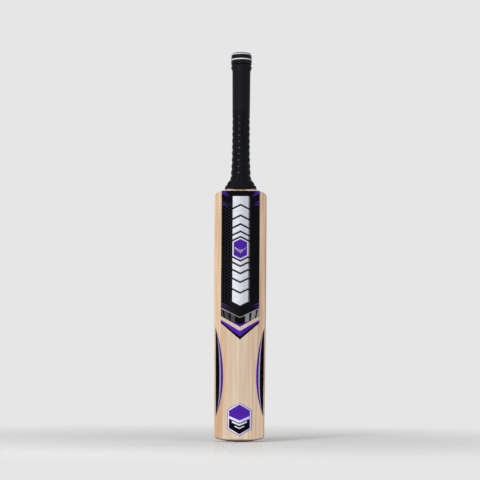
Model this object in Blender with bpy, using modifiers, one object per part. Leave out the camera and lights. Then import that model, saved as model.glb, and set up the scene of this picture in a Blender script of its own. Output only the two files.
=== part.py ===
"""Cricket bat: a willow blade, a laminated cane handle spliced into it, a ribbed rubber grip and film labels.

Metres, +Z up the bat from the toe, face towards -Y. Shapes are laid out about the handle's axis, and one
empty then carries every piece so that the origin is under the middle of the bat's box.
"""

import math

import bmesh
import bpy
from mathutils import Matrix

# Clearances
FIT = 0.0003
GLUE_LINE = 0.0003
RING_FIT = 0.00015

# Blade, seen from the front
BLADE_HALF_WIDTH = 0.0540
TOE_HALF_WIDTH = 0.0512
TAPER_HEIGHT = 0.330
BLADE_LENGTH = 0.5185
TOE_FLAT_HALF = 0.0070
TOE_CROWN = 0.0054
TOE_CORNER_RADIUS = 0.0045
SHOULDER_CORNER = 0.0080
SHOULDER_RISE = 0.0095
NECK_FOOT_HALF = 0.0293
NECK_HEIGHT = 0.0280
NECK_RADIUS = 0.0170

# Blade, seen from the side
FACE_OFFSET = 0.0175
FACE_CROWN = 0.0016
SWELL_HEIGHT = 0.190
SPINE_TOE = 0.0270
SPINE_SWELL = 0.0600
SPINE_SHOULDER = 0.0380
EDGE_TOE = 0.0210
EDGE_SWELL = 0.0340
EDGE_SHOULDER = 0.0210
FACE_EDGE_ROUND = 0.0028
BACK_EDGE_ROUND = 0.0080
TOE_EDGE_ROUND = 0.0030

# Cane handle
HANDLE_LENGTH = 0.263
CANE_RADIUS = 0.0140
STRIP_WIDTH = 0.0104
LAYER_PITCH = 0.0070
SPRING_THICKNESS = 0.0012
SPLICE_LENGTH = 0.150
SPLICE_TIP_HALF = 0.0012
SPLICE_STRAIGHT = 0.0020
TWINE_THICKNESS = 0.0008

# Rubber grip
GRIP_WALL = 0.0019
RIB_COUNT = 9
RIB_PITCH = 0.01336
RIB_DEPTH_TOP = 0.0010
RIB_DEPTH_BOTTOM = 0.0017
RIBS_ABOVE_NECK = 0.0034
RIB_SWELL = 0.0019
RIB_SWELL_HEIGHT = 0.0530
SMOOTH_FOOT = 0.0060
SMOOTH_RADIUS_BOTTOM = 0.01825
SMOOTH_RADIUS_TOP = 0.0190
LIP_HALF_WIDTH = 0.0332
LIP_WALL = 0.0021
LIP_DIP = 0.0045
LIP_INSET = 0.0060
LIP_EXPONENT = 4.5
ROUND_EXPONENT = 2.0
FLARE_TOP_STEP = 0.0110
FLARE_MIDDLE_STEP = 0.0104
FLARE_LIP_STEP = 0.0068
FLARE_TOP_OUT = 0.22
FLARE_MIDDLE_OUT = 0.68
SLEEVE_TOP_RADIUS = 0.0216
SLEEVE_TOP_ROLL = 0.0150

# Collar at the end of the handle
COLLAR_HEIGHT = 0.0238
COLLAR_RADIUS = 0.0216
COLLAR_LID = 0.0032
COLLAR_HOLE_RADIUS = 0.0090
COLLAR_ROUND = 0.0014
RING_DEPTH = 0.0012
RING_PROUD = 0.0001
UPPER_RING_DROP = 0.0030
UPPER_RING_WIDTH = 0.0024
LOWER_RING_DROP = 0.0141
LOWER_RING_WIDTH = 0.0027

# Film labels on the upper face, each below the one before it
LABEL_GAP = 0.00015
LABEL_FILM = 0.00025
LABEL_SEAM = 0.0005
PANEL_BELOW_LIP = 0.0027
PANEL_HALF_WIDTH = 0.0398
PANEL_SIDE = 0.2480
PANEL_V = 0.0200
BAND_SIDE = 0.0164
BAND_MIDDLE = 0.0190
CHEVRON_SIDE_GAP = 0.0076
CHEVRON_MIDDLE_GAP = 0.0086
CHEVRON_SIDE = 0.0072
CHEVRON_MIDDLE = 0.0179

# Film labels on the lower face, with heights above the toe
EDGE_LABEL_TOP = 0.2354
EDGE_LABEL_BOTTOM = 0.0506
EDGE_LABEL_WIDEST = 0.1340
EDGE_LABEL_WIDTH = 0.0153
EDGE_LABEL_MARGIN = 0.0030
TOE_LABEL_TOP = 0.0785
TOE_LABEL_BOTTOM = 0.0085
TOE_LABEL_HALF_WIDTH = 0.0250
TOE_LABEL_POINT = 0.0150

# Counts of steps along curved stretches
TURN_SEGMENTS = 32
TOE_STEPS = 4
CORNER_STEPS = 4
SIDE_STEPS = 14
SLOPE_STEPS = 3
NECK_STEPS = 6
FACE_STEPS = 8
BACK_STEPS = 16
FLARE_RINGS = 4
RIB_RINGS = 4
FOOT_RINGS = 3
ROLL_RINGS = 6
LABEL_STEPS = 14

# How sharply curved stretches ease
TAPER_EASE = 1.5
SPINE_SHARPNESS = 1.15
STEP_ROUNDNESS = 0.8
DIP_EASE = 1.5
RIB_ROUNDNESS = 0.7
ROLL_TURN = 0.85
ROUNDEST_CORNER = 0.9
DEEPEST_CORNER = 0.48

# Worked out from the sizes above
NECK_FOOT_Z = BLADE_LENGTH + SHOULDER_RISE
NECK_TOP_Z = NECK_FOOT_Z + NECK_HEIGHT
BAT_LENGTH = NECK_TOP_Z + HANDLE_LENGTH
CANE_TOP_Z = BAT_LENGTH - COLLAR_LID - FIT
SPLICE_TIP_Z = NECK_TOP_Z - SPLICE_LENGTH
TWINE_INNER = CANE_RADIUS + FIT
TWINE_OUTER = TWINE_INNER + TWINE_THICKNESS
GRIP_BORE = TWINE_OUTER + FIT
GRIP_RADIUS = GRIP_BORE + GRIP_WALL
RIBS_BOTTOM_Z = NECK_TOP_Z + RIBS_ABOVE_NECK
RIBS_TOP_Z = RIBS_BOTTOM_Z + RIB_COUNT * RIB_PITCH
COLLAR_BOTTOM_Z = BAT_LENGTH - COLLAR_HEIGHT
SLEEVE_TOP_Z = COLLAR_BOTTOM_Z - FIT
FLARE_STEPS = (FLARE_TOP_STEP, FLARE_MIDDLE_STEP, FLARE_LIP_STEP)
FLARE_OUTS = (0.0, FLARE_TOP_OUT, FLARE_MIDDLE_OUT, 1.0)
LIP_Z = RIBS_BOTTOM_Z - sum(FLARE_STEPS)
LIP_FRONT = FACE_OFFSET + FIT + LIP_WALL
LIP_BACK = SPINE_SHOULDER - FACE_OFFSET + FIT + LIP_WALL
DEEPEST_FRONT = max(COLLAR_RADIUS + RING_PROUD, LIP_FRONT, FACE_OFFSET + LABEL_GAP + LABEL_FILM)
DEEPEST_BACK = SPINE_SWELL - FACE_OFFSET
PANEL_TOP = LIP_Z - LIP_DIP - PANEL_BELOW_LIP
PANEL_SIDE_BOTTOM = PANEL_TOP - PANEL_SIDE
PANEL_POINT = PANEL_SIDE_BOTTOM - PANEL_V
BAND_SIDE_BOTTOM = PANEL_SIDE_BOTTOM - BAND_SIDE
BAND_POINT = PANEL_POINT - BAND_MIDDLE
CHEVRON_SIDE_TOP = BAND_SIDE_BOTTOM - CHEVRON_SIDE_GAP
CHEVRON_NOTCH = BAND_POINT - CHEVRON_MIDDLE_GAP
CHEVRON_SIDE_BOTTOM = CHEVRON_SIDE_TOP - CHEVRON_SIDE
CHEVRON_POINT = CHEVRON_NOTCH - CHEVRON_MIDDLE
CUTTER_REACH = 0.150


def remove_old_objects():
    """Empties the scene."""
    for old in list(bpy.data.objects):
        bpy.data.objects.remove(old, do_unlink=True)


def new_collection(name):
    """A collection linked to the scene."""
    made = bpy.data.collections.new(name)
    bpy.context.scene.collection.children.link(made)
    return made


def principled(name, colour, roughness):
    """A Principled material with one colour."""
    made = bpy.data.materials.new(name)
    made.use_nodes = True
    shader = made.node_tree.nodes["Principled BSDF"]
    shader.inputs["Base Color"].default_value = (*colour, 1.0)
    shader.inputs["Roughness"].default_value = roughness
    shader.inputs["Metallic"].default_value = 0.0
    return made


def blend(start, end, share):
    """The value a share of the way from start to end."""
    return start + (end - start) * share


def smooth(share):
    """A share eased at both ends and held between 0 and 1."""
    held = min(max(share, 0.0), 1.0)
    return held * held * (3.0 - 2.0 * held)


def mesh_object(name, mesh, collection):
    """An object for a mesh."""
    made = bpy.data.objects.new(name, mesh)
    collection.objects.link(made)
    return made


def finish_mesh(name, bm):
    """A mesh from a bmesh, with its faces turned outwards."""
    bmesh.ops.recalc_face_normals(bm, faces=bm.faces)
    mesh = bpy.data.meshes.new(name)
    bm.to_mesh(mesh)
    bm.free()
    return mesh


def loft(name, rings, collection):
    """A closed body through rings that all have the same number of points."""
    bm = bmesh.new()
    rows = [[bm.verts.new(point) for point in ring] for ring in rings]
    count = len(rings[0])
    for low, high in zip(rows, rows[1:]):
        for i in range(count):
            j = (i + 1) % count
            bm.faces.new((low[i], low[j], high[j], high[i]))
    bm.faces.new(rows[0])
    bm.faces.new(rows[-1])
    return mesh_object(name, finish_mesh(name, bm), collection)


def box(name, low, high, collection):
    """A box between two corners."""
    bm = bmesh.new()
    bmesh.ops.create_cube(bm, size=1.0)
    size = [b - a for a, b in zip(low, high)]
    middle = [(a + b) / 2 for a, b in zip(low, high)]
    bmesh.ops.transform(bm, matrix=Matrix.Translation(middle) @ Matrix.Diagonal((*size, 1.0)), verts=bm.verts)
    return mesh_object(name, finish_mesh(name, bm), collection)


def slab(name, outline, collection):
    """An outline in X and Z, made as thick along Y as the cuts need."""
    curve = bpy.data.curves.new(name, "CURVE")
    curve.dimensions = "2D"
    curve.fill_mode = "BOTH"
    curve.extrude = CUTTER_REACH
    spline = curve.splines.new("POLY")
    spline.points.add(len(outline) - 1)
    for point, (x, z) in zip(spline.points, outline):
        point.co = (x, z, 0.0, 1.0)
    spline.use_cyclic_u = True
    flat = bpy.data.objects.new(name + "_outline", curve)
    collection.objects.link(flat)
    evaluated = flat.evaluated_get(bpy.context.evaluated_depsgraph_get())
    bm = bmesh.new()
    bm.from_mesh(bpy.data.meshes.new_from_object(evaluated))
    bpy.data.objects.remove(flat, do_unlink=True)
    bmesh.ops.remove_doubles(bm, verts=bm.verts, dist=0.000001)
    bmesh.ops.transform(bm, matrix=Matrix.Rotation(math.radians(90), 4, "X"), verts=bm.verts)
    return mesh_object(name, finish_mesh(name, bm), collection)


def turned(name, profile, collection):
    """A closed profile of (radius, height) points turned about the handle's axis."""
    mesh = bpy.data.meshes.new(name)
    points = [(radius, 0.0, height) for radius, height in profile]
    edges = [(i, (i + 1) % len(points)) for i in range(len(points))]
    mesh.from_pydata(points, edges, [])
    made = mesh_object(name, mesh, collection)
    screw = made.modifiers.new("turn", "SCREW")
    screw.steps = TURN_SEGMENTS
    screw.render_steps = TURN_SEGMENTS
    screw.use_merge_vertices = True
    screw.merge_threshold = 0.00001
    return made


def combine(made, tool, operation):
    """Adds a Boolean with another object."""
    cut = made.modifiers.new(operation.lower() + "_" + tool.name, "BOOLEAN")
    cut.operation = operation
    cut.object = tool
    cut.solver = "EXACT"
    return made


def as_cutter(made):
    """Marks an object as a tool that isn't a piece of the bat."""
    made.hide_render = True
    made.display_type = "WIRE"
    return made


def side_half_width(z):
    """Half the blade's width at a height, without the rounding at its corners."""
    draw = max(0.0, 1.0 - z / TAPER_HEIGHT)
    return BLADE_HALF_WIDTH - (BLADE_HALF_WIDTH - TOE_HALF_WIDTH) * draw**TAPER_EASE


def face_y(x):
    """The crowned face, the same all the way up the blade."""
    return -FACE_OFFSET + FACE_CROWN * (x / BLADE_HALF_WIDTH) ** 2


def swell(z, toe, middle, shoulder):
    """A thickness that rises from the toe to the swell and eases down to the shoulder."""
    if z < SWELL_HEIGHT:
        return blend(toe, middle, math.sin(math.pi / 2 * z / SWELL_HEIGHT))
    return blend(middle, shoulder, smooth((z - SWELL_HEIGHT) / (BLADE_LENGTH - SWELL_HEIGHT)))


def neck_share(z):
    """How far the blade has turned from its own section into the round neck."""
    return smooth((z - BLADE_LENGTH) / (NECK_TOP_Z - BLADE_LENGTH))


def toe_inset(z):
    """How far the rounding of the toe's front and back edges draws in."""
    left = max(0.0, TOE_EDGE_ROUND - z)
    return TOE_EDGE_ROUND - math.sqrt(TOE_EDGE_ROUND**2 - left**2)


def front_y(x, z):
    """The blade's front, which is the face until the neck turns round."""
    return blend(face_y(x), -NECK_RADIUS, neck_share(z)) + toe_inset(z)


def back_y(x, z):
    """The blade's back: a spine between two hollows, falling to the edges."""
    neck = neck_share(z)
    spine = blend(swell(z, SPINE_TOE, SPINE_SWELL, SPINE_SHOULDER) - FACE_OFFSET, NECK_RADIUS, neck)
    edge = swell(z, EDGE_TOE, EDGE_SWELL, EDGE_SHOULDER) - FACE_OFFSET + FACE_CROWN
    across = min(abs(x) / side_half_width(z), 1.0)
    rise = ((1.0 + math.cos(math.pi * across)) / 2) ** SPINE_SHARPNESS
    return blend(edge, spine, rise) - toe_inset(z)


def blade_stations():
    """Heights and half widths up the blade's outline, from the flat of the toe to the top of the neck."""
    stations = [(0.0, TOE_FLAT_HALF)]
    corner_top = TOE_CROWN + TOE_CORNER_RADIUS
    corner_x = side_half_width(corner_top) - TOE_CORNER_RADIUS
    for step in range(1, TOE_STEPS + 1):
        share = step / TOE_STEPS
        stations.append((TOE_CROWN * share**2, blend(TOE_FLAT_HALF, corner_x, share)))
    for step in range(1, CORNER_STEPS + 1):
        turn = math.pi / 2 * step / CORNER_STEPS
        height = TOE_CROWN + TOE_CORNER_RADIUS * (1.0 - math.cos(turn))
        stations.append((height, corner_x + TOE_CORNER_RADIUS * math.sin(turn)))
    side_top = BLADE_LENGTH - SHOULDER_CORNER
    for step in range(1, SIDE_STEPS + 1):
        height = blend(corner_top, side_top, step / SIDE_STEPS)
        stations.append((height, side_half_width(height)))
    slope = SHOULDER_CORNER / math.hypot(BLADE_HALF_WIDTH - NECK_FOOT_HALF, SHOULDER_RISE)
    slope_z = BLADE_LENGTH + SHOULDER_RISE * slope
    slope_x = blend(BLADE_HALF_WIDTH, NECK_FOOT_HALF, slope)
    for step in range(1, CORNER_STEPS + 1):
        share = step / CORNER_STEPS
        height = blend(blend(side_top, BLADE_LENGTH, share), blend(BLADE_LENGTH, slope_z, share), share)
        stations.append((height, blend(BLADE_HALF_WIDTH, slope_x, share**2)))
    for step in range(1, SLOPE_STEPS + 1):
        share = step / SLOPE_STEPS
        stations.append((blend(slope_z, NECK_FOOT_Z, share), blend(slope_x, NECK_FOOT_HALF, share)))
    for step in range(1, NECK_STEPS + 1):
        share = step / NECK_STEPS
        half_width = blend(NECK_RADIUS, NECK_FOOT_HALF, (1 - share) ** 2)
        stations.append((NECK_FOOT_Z + NECK_HEIGHT * share, half_width))
    return stations


def quarter(centre_x, centre_y, radius, start, z):
    """Points of a quarter turn to the left from a starting angle, without its last point."""
    points = []
    for step in range(CORNER_STEPS):
        turn = start + math.pi / 2 * step / CORNER_STEPS
        points.append((centre_x + radius * math.cos(turn), centre_y + radius * math.sin(turn), z))
    return points


def blade_section(z, half_width, grow):
    """One ring round the blade at a height, grown outwards for a clearance if asked."""
    wide = half_width + grow
    deep = back_y(half_width, z) - front_y(half_width, z) + 2 * grow
    turned_in = math.sqrt(neck_share(z))
    limit = min(DEEPEST_CORNER * deep, ROUNDEST_CORNER * wide)
    neck_round = ROUNDEST_CORNER * NECK_RADIUS
    front_round = min(blend(FACE_EDGE_ROUND, neck_round, turned_in), limit)
    back_round = min(blend(BACK_EDGE_ROUND, neck_round, turned_in), limit)
    front_flat, back_flat = wide - front_round, wide - back_round
    front_centre = front_y(front_flat, z) - grow + front_round
    back_centre = back_y(back_flat, z) + grow - back_round
    ring = []
    for step in range(FACE_STEPS):
        x = blend(-front_flat, front_flat, step / FACE_STEPS)
        ring.append((x, front_y(x, z) - grow, z))
    ring += quarter(front_flat, front_centre, front_round, -math.pi / 2, z)
    ring.append((wide, front_centre, z))
    ring += quarter(back_flat, back_centre, back_round, 0.0, z)
    for step in range(BACK_STEPS):
        x = blend(back_flat, -back_flat, step / BACK_STEPS)
        ring.append((x, back_y(x, z) + grow, z))
    ring += quarter(-back_flat, back_centre, back_round, math.pi / 2, z)
    ring.append((-wide, back_centre, z))
    ring += quarter(-front_flat, front_centre, front_round, math.pi, z)
    return ring


def blade_body(name, collection, grow=0.0):
    """The blade before its splice is cut."""
    rings = [blade_section(z, half_width, grow) for z, half_width in blade_stations()]
    if grow:
        rings[-1] = [(x, y, z + grow) for x, y, z in rings[-1]]
    return loft(name, rings, collection)


def splice_outline(grow, top):
    """The V of the splice in X and Z."""
    half = CANE_RADIUS + grow
    tip = SPLICE_TIP_HALF + grow
    straight = NECK_TOP_Z - SPLICE_STRAIGHT
    low = SPLICE_TIP_Z - grow
    return [(-half, top), (-half, straight), (-tip, low), (tip, low), (half, straight), (half, top)]


def handle_blank(cutters):
    """The whole glued handle: the round shaft and the V that fills the blade's slot."""
    whole = as_cutter(blade_body("blade_outer_shape", cutters))
    wedge = as_cutter(slab("splice_wedge", splice_outline(0.0, NECK_TOP_Z), cutters))
    combine(wedge, whole, "INTERSECT")
    low = NECK_TOP_Z - SPLICE_STRAIGHT
    bm = bmesh.new()
    bmesh.ops.create_cone(
        bm,
        cap_ends=True,
        segments=TURN_SEGMENTS,
        radius1=CANE_RADIUS,
        radius2=CANE_RADIUS,
        depth=CANE_TOP_Z - low,
        matrix=Matrix.Translation((0.0, 0.0, (CANE_TOP_Z + low) / 2)),
    )
    blank = as_cutter(mesh_object("handle_blank", finish_mesh("handle_blank", bm), cutters))
    return combine(blank, wedge, "UNION")


def make_blade(parts, cutters, finish):
    """The willow blade with the slot for the splice."""
    blade = blade_body("blade", parts)
    slot = as_cutter(slab("splice_slot", splice_outline(FIT, NECK_TOP_Z + CUTTER_REACH), cutters))
    combine(blade, slot, "DIFFERENCE")
    blade.data.materials.append(finish)


def make_handle(parts, cutters, cane, rubber):
    """Twelve strips of cane in four layers, with a rubber spring between each two layers."""
    blank = handle_blank(cutters)
    low, high = SPLICE_TIP_Z - CUTTER_REACH, BAT_LENGTH
    spring_half = SPRING_THICKNESS / 2
    cane_half = spring_half + GLUE_LINE
    joints = [-LAYER_PITCH, 0.0, LAYER_PITCH]
    layers = {
        "front": (-CUTTER_REACH, joints[0] - cane_half),
        "mid_front": (joints[0] + cane_half, joints[1] - cane_half),
        "mid_back": (joints[1] + cane_half, joints[2] - cane_half),
        "back": (joints[2] + cane_half, CUTTER_REACH),
    }
    inner, outer = (STRIP_WIDTH - GLUE_LINE) / 2, (STRIP_WIDTH + GLUE_LINE) / 2
    columns = {
        "left": (-CUTTER_REACH, -outer),
        "middle": (-inner, inner),
        "right": (outer, CUTTER_REACH),
    }
    for layer, (y0, y1) in layers.items():
        for column, (x0, x1) in columns.items():
            strip = box(f"cane_strip_{layer}_{column}", (x0, y0, low), (x1, y1, high), parts)
            combine(strip, blank, "INTERSECT")
            strip.data.materials.append(cane)
    for place, y in zip(("front", "middle", "back"), joints):
        corner = (-CUTTER_REACH, y - spring_half, low)
        spring = box(f"rubber_spring_{place}", corner, (CUTTER_REACH, y + spring_half, high), parts)
        combine(spring, blank, "INTERSECT")
        spring.data.materials.append(rubber)


def make_twine(parts, finish):
    """The wound thread over the shaft, from the neck to the lid of the collar."""
    low = NECK_TOP_Z + FIT
    profile = [(TWINE_OUTER, CANE_TOP_Z), (TWINE_OUTER, low), (TWINE_INNER, low), (TWINE_INNER, CANE_TOP_Z)]
    turned("twine_binding", profile, parts).data.materials.append(finish)


def grip_ring(z, sizes, square, dip):
    """One ring of the grip, round or squarer, whose front and back hang down by the dip.

    The sizes are its half width, its depth in front of the handle's axis and its depth behind.
    """
    side, front, back = sizes
    ring = []
    for step in range(TURN_SEGMENTS):
        turn = 2 * math.pi * step / TURN_SEGMENTS
        across, along = math.cos(turn), math.sin(turn)
        depth = back if along > 0 else front
        x = math.copysign(side * abs(across) ** (2 / square), across)
        y = math.copysign(depth * abs(along) ** (2 / square), along)
        ring.append((x, y, z - dip * along**2))
    return ring


def round_ring(z, radius):
    """One ring of the grip where it is round."""
    return grip_ring(z, (radius, radius, radius), ROUND_EXPONENT, 0.0)


def rib_valley(z):
    """Radius of the sleeve between ribs, which grows towards the flare."""
    share = max(0.0, 1.0 - (z - RIBS_BOTTOM_Z) / RIB_SWELL_HEIGHT)
    return GRIP_RADIUS + RIB_SWELL * share**2


def flare_rings():
    """Rings of the flare from the lip up to the lowest rib."""
    valley = rib_valley(RIBS_BOTTOM_Z)
    total = sum(FLARE_STEPS)
    rings = []
    z = RIBS_BOTTOM_Z
    for index, height in enumerate(FLARE_STEPS):
        start, end = FLARE_OUTS[index], FLARE_OUTS[index + 1]
        for ring in range(1, FLARE_RINGS + 1):
            share = ring / FLARE_RINGS
            out = blend(start, end, math.sin(math.pi / 2 * share) ** STEP_ROUNDNESS)
            level = z - height * share
            dip = LIP_DIP * ((RIBS_BOTTOM_Z - level) / total) ** DIP_EASE
            sizes = [blend(valley, lip, out) for lip in (LIP_HALF_WIDTH, LIP_FRONT, LIP_BACK)]
            rings.append(grip_ring(level, sizes, blend(ROUND_EXPONENT, LIP_EXPONENT, out), dip))
        z -= height
    inner = [size - LIP_INSET for size in (LIP_HALF_WIDTH, LIP_FRONT, LIP_BACK)]
    rings.append(grip_ring(LIP_Z, inner, LIP_EXPONENT, LIP_DIP))
    return rings[::-1]


def rib_rings():
    """Rings of the ribs, which grow deeper downwards."""
    rings = []
    for index in range(RIB_COUNT):
        depth = blend(RIB_DEPTH_BOTTOM, RIB_DEPTH_TOP, index / (RIB_COUNT - 1))
        for ring in range(RIB_RINGS):
            share = ring / RIB_RINGS
            level = RIBS_BOTTOM_Z + (index + share) * RIB_PITCH
            rise = depth * math.sin(math.pi * share) ** RIB_ROUNDNESS
            rings.append(round_ring(level, rib_valley(level) + rise))
    rings.append(round_ring(RIBS_TOP_Z, rib_valley(RIBS_TOP_Z)))
    return rings


def smooth_rings():
    """Rings of the rounded foot of the sleeve's smooth length, which runs on up to the roll."""
    rings = []
    for ring in range(1, FOOT_RINGS + 1):
        share = ring / FOOT_RINGS
        rise = math.sin(math.pi / 2 * share) ** RIB_ROUNDNESS
        radius = blend(rib_valley(RIBS_TOP_Z), SMOOTH_RADIUS_BOTTOM, rise)
        rings.append(round_ring(RIBS_TOP_Z + SMOOTH_FOOT * share, radius))
    return rings


def roll_rings():
    """Rings of the thicker roll at the top of the sleeve."""
    rings = []
    for ring in range(ROLL_RINGS + 1):
        share = ring / ROLL_RINGS
        bulge = math.sin(math.pi * ROLL_TURN * share) ** 2
        level = SLEEVE_TOP_Z - SLEEVE_TOP_ROLL * (1.0 - share)
        rings.append(round_ring(level, blend(SMOOTH_RADIUS_TOP, SLEEVE_TOP_RADIUS, bulge)))
    return rings


def make_grip(parts, cutters, finish):
    """The rubber sleeve: a lip hugging the shoulders, a stepped flare, ribs, a smooth length and a roll."""
    grip = loft("grip_sleeve", flare_rings() + rib_rings() + smooth_rings() + roll_rings(), parts)
    bore = as_cutter(
        turned(
            "grip_bore",
            [
                (GRIP_BORE, BAT_LENGTH),
                (GRIP_BORE, NECK_TOP_Z - SPLICE_STRAIGHT),
                (0.0, NECK_TOP_Z - SPLICE_STRAIGHT),
                (0.0, BAT_LENGTH),
            ],
            cutters,
        )
    )
    combine(grip, bore, "DIFFERENCE")
    combine(grip, as_cutter(blade_body("blade_clearance", cutters, FIT)), "DIFFERENCE")
    grip.data.materials.append(finish)


def ring_span(drop, width):
    """Lower and upper height of a white ring, from how far its middle lies below the end of the handle."""
    middle = BAT_LENGTH - drop
    return middle - width / 2, middle + width / 2


def make_collar(parts, rubber, white):
    """The collar, with a lid over the edge of the cane and two grooves that hold the white rings."""
    groove = COLLAR_RADIUS - RING_DEPTH
    lid = BAT_LENGTH - COLLAR_LID
    rings = {
        "white_ring_upper": ring_span(UPPER_RING_DROP, UPPER_RING_WIDTH),
        "white_ring_lower": ring_span(LOWER_RING_DROP, LOWER_RING_WIDTH),
    }
    profile = [(COLLAR_HOLE_RADIUS, BAT_LENGTH), (COLLAR_RADIUS - COLLAR_ROUND, BAT_LENGTH)]
    profile.append((COLLAR_RADIUS, BAT_LENGTH - COLLAR_ROUND))
    for low, high in rings.values():
        profile += [(COLLAR_RADIUS, high), (groove, high), (groove, low), (COLLAR_RADIUS, low)]
    profile.append((COLLAR_RADIUS, COLLAR_BOTTOM_Z + COLLAR_ROUND))
    profile.append((COLLAR_RADIUS - COLLAR_ROUND, COLLAR_BOTTOM_Z))
    profile += [(GRIP_BORE, COLLAR_BOTTOM_Z), (GRIP_BORE, lid), (COLLAR_HOLE_RADIUS, lid)]
    turned("grip_collar", profile, parts).data.materials.append(rubber)
    inner, outer = groove + RING_FIT, COLLAR_RADIUS + RING_PROUD
    for name, (low, high) in rings.items():
        top, bottom = high - RING_FIT, low + RING_FIT
        section = [(outer, top), (outer, bottom), (inner, bottom), (inner, top)]
        turned(name, section, parts).data.materials.append(white)


def label_film(cutters):
    """A thin sheet lying just off the face, from which every label is cut."""
    back, front = LABEL_GAP, LABEL_GAP + LABEL_FILM
    steps = 3 * FACE_STEPS
    across = [blend(-BLADE_HALF_WIDTH, BLADE_HALF_WIDTH, step / steps) for step in range(steps + 1)]
    outline = [(x, face_y(x) - back) for x in across] + [(x, face_y(x) - front) for x in reversed(across)]
    rings = [[(x, y, z) for x, y in outline] for z in (0.0, BAT_LENGTH)]
    return as_cutter(loft("label_film", rings, cutters))


def chevron(half_width, side_top, notch, side_bottom, point):
    """A V with straight sides."""
    return [
        (-half_width, side_top),
        (0.0, notch),
        (half_width, side_top),
        (half_width, side_bottom),
        (0.0, point),
        (-half_width, side_bottom),
    ]


def edge_label_outline(side):
    """A lens beside the blade's edge: the outer side follows the edge, and the inner side bulges."""
    outer, inner = [], []
    for step in range(LABEL_STEPS + 1):
        share = step / LABEL_STEPS
        z = blend(EDGE_LABEL_BOTTOM, EDGE_LABEL_TOP, share)
        x = side_half_width(z) - EDGE_LABEL_MARGIN
        if z < EDGE_LABEL_WIDEST:
            reach = (EDGE_LABEL_WIDEST - z) / (EDGE_LABEL_WIDEST - EDGE_LABEL_BOTTOM)
        else:
            reach = (z - EDGE_LABEL_WIDEST) / (EDGE_LABEL_TOP - EDGE_LABEL_WIDEST)
        outer.append((side * x, z))
        if 0 < step < LABEL_STEPS:
            inner.append((side * (x - EDGE_LABEL_WIDTH * (1.0 - reach**2)), z))
    return outer + inner[::-1]


def toe_label_outline():
    """A tall six-sided badge."""
    half = TOE_LABEL_HALF_WIDTH
    upper, lower = TOE_LABEL_TOP - TOE_LABEL_POINT, TOE_LABEL_BOTTOM + TOE_LABEL_POINT
    return [
        (0.0, TOE_LABEL_TOP),
        (half, upper),
        (half, lower),
        (0.0, TOE_LABEL_BOTTOM),
        (-half, lower),
        (-half, upper),
    ]


def make_labels(parts, cutters, black, purple):
    """The film labels: outlines cut from the sheet that lies on the face."""
    film = label_film(cutters)
    half = PANEL_HALF_WIDTH
    panel = [
        (-half, PANEL_TOP),
        (half, PANEL_TOP),
        (half, PANEL_SIDE_BOTTOM),
        (0.0, PANEL_POINT),
        (-half, PANEL_SIDE_BOTTOM),
    ]
    band_side, band_notch = PANEL_SIDE_BOTTOM - LABEL_SEAM, PANEL_POINT - LABEL_SEAM
    labels = {
        "face_label_panel": (panel, black),
        "face_label_band": (chevron(half, band_side, band_notch, BAND_SIDE_BOTTOM, BAND_POINT), black),
        "face_label_chevron": (
            chevron(half, CHEVRON_SIDE_TOP, CHEVRON_NOTCH, CHEVRON_SIDE_BOTTOM, CHEVRON_POINT),
            purple,
        ),
        "edge_label_left": (edge_label_outline(-1), black),
        "edge_label_right": (edge_label_outline(1), black),
        "toe_label": (toe_label_outline(), purple),
    }
    for name, (outline, finish) in labels.items():
        label = combine(slab(name, outline, parts), film, "INTERSECT")
        label.data.materials.append(finish)


def carry_all(parts, cutters):
    """Hangs every piece and cutter on one empty, to put the origin under the middle of the bat's box."""
    carrier = bpy.data.objects.new("bat_middle", None)
    carrier.location = (0.0, (DEEPEST_FRONT - DEEPEST_BACK) / 2, 0.0)
    for made in list(parts.objects) + list(cutters.objects):
        made.parent = carrier
    parts.objects.link(carrier)


def main():
    """Builds the bat."""
    remove_old_objects()
    parts = new_collection("cricket_bat")
    cutters = new_collection("cutters")
    willow = principled("willow", (0.66, 0.51, 0.36), 0.5)
    cane = principled("cane", (0.55, 0.38, 0.20), 0.6)
    black_rubber = principled("black_rubber", (0.015, 0.015, 0.016), 0.6)
    spring_rubber = principled("spring_rubber", (0.06, 0.05, 0.045), 0.7)
    white_rubber = principled("white_rubber", (0.80, 0.80, 0.82), 0.5)
    twine = principled("twine", (0.60, 0.52, 0.38), 0.8)
    black_film = principled("black_film", (0.008, 0.008, 0.010), 0.3)
    purple_film = principled("purple_film", (0.08, 0.012, 0.45), 0.3)
    make_blade(parts, cutters, willow)
    make_handle(parts, cutters, cane, spring_rubber)
    make_twine(parts, twine)
    make_grip(parts, cutters, black_rubber)
    make_collar(parts, black_rubber, white_rubber)
    make_labels(parts, cutters, black_film, purple_film)
    carry_all(parts, cutters)


main()
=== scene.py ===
"""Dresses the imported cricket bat: willow, cane, rubber and printed film, with a studio and a camera.

Metres, +Z up the bat from the toe, striking face towards -Y. Shapes are laid out about the handle's axis,
as in the solids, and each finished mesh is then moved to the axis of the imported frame.
"""

import functools
import logging
import math
from dataclasses import dataclass, replace
from enum import Enum
from typing import Any, Iterable, Sequence

import bmesh
import bpy
from mathutils import Matrix, Vector


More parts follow.
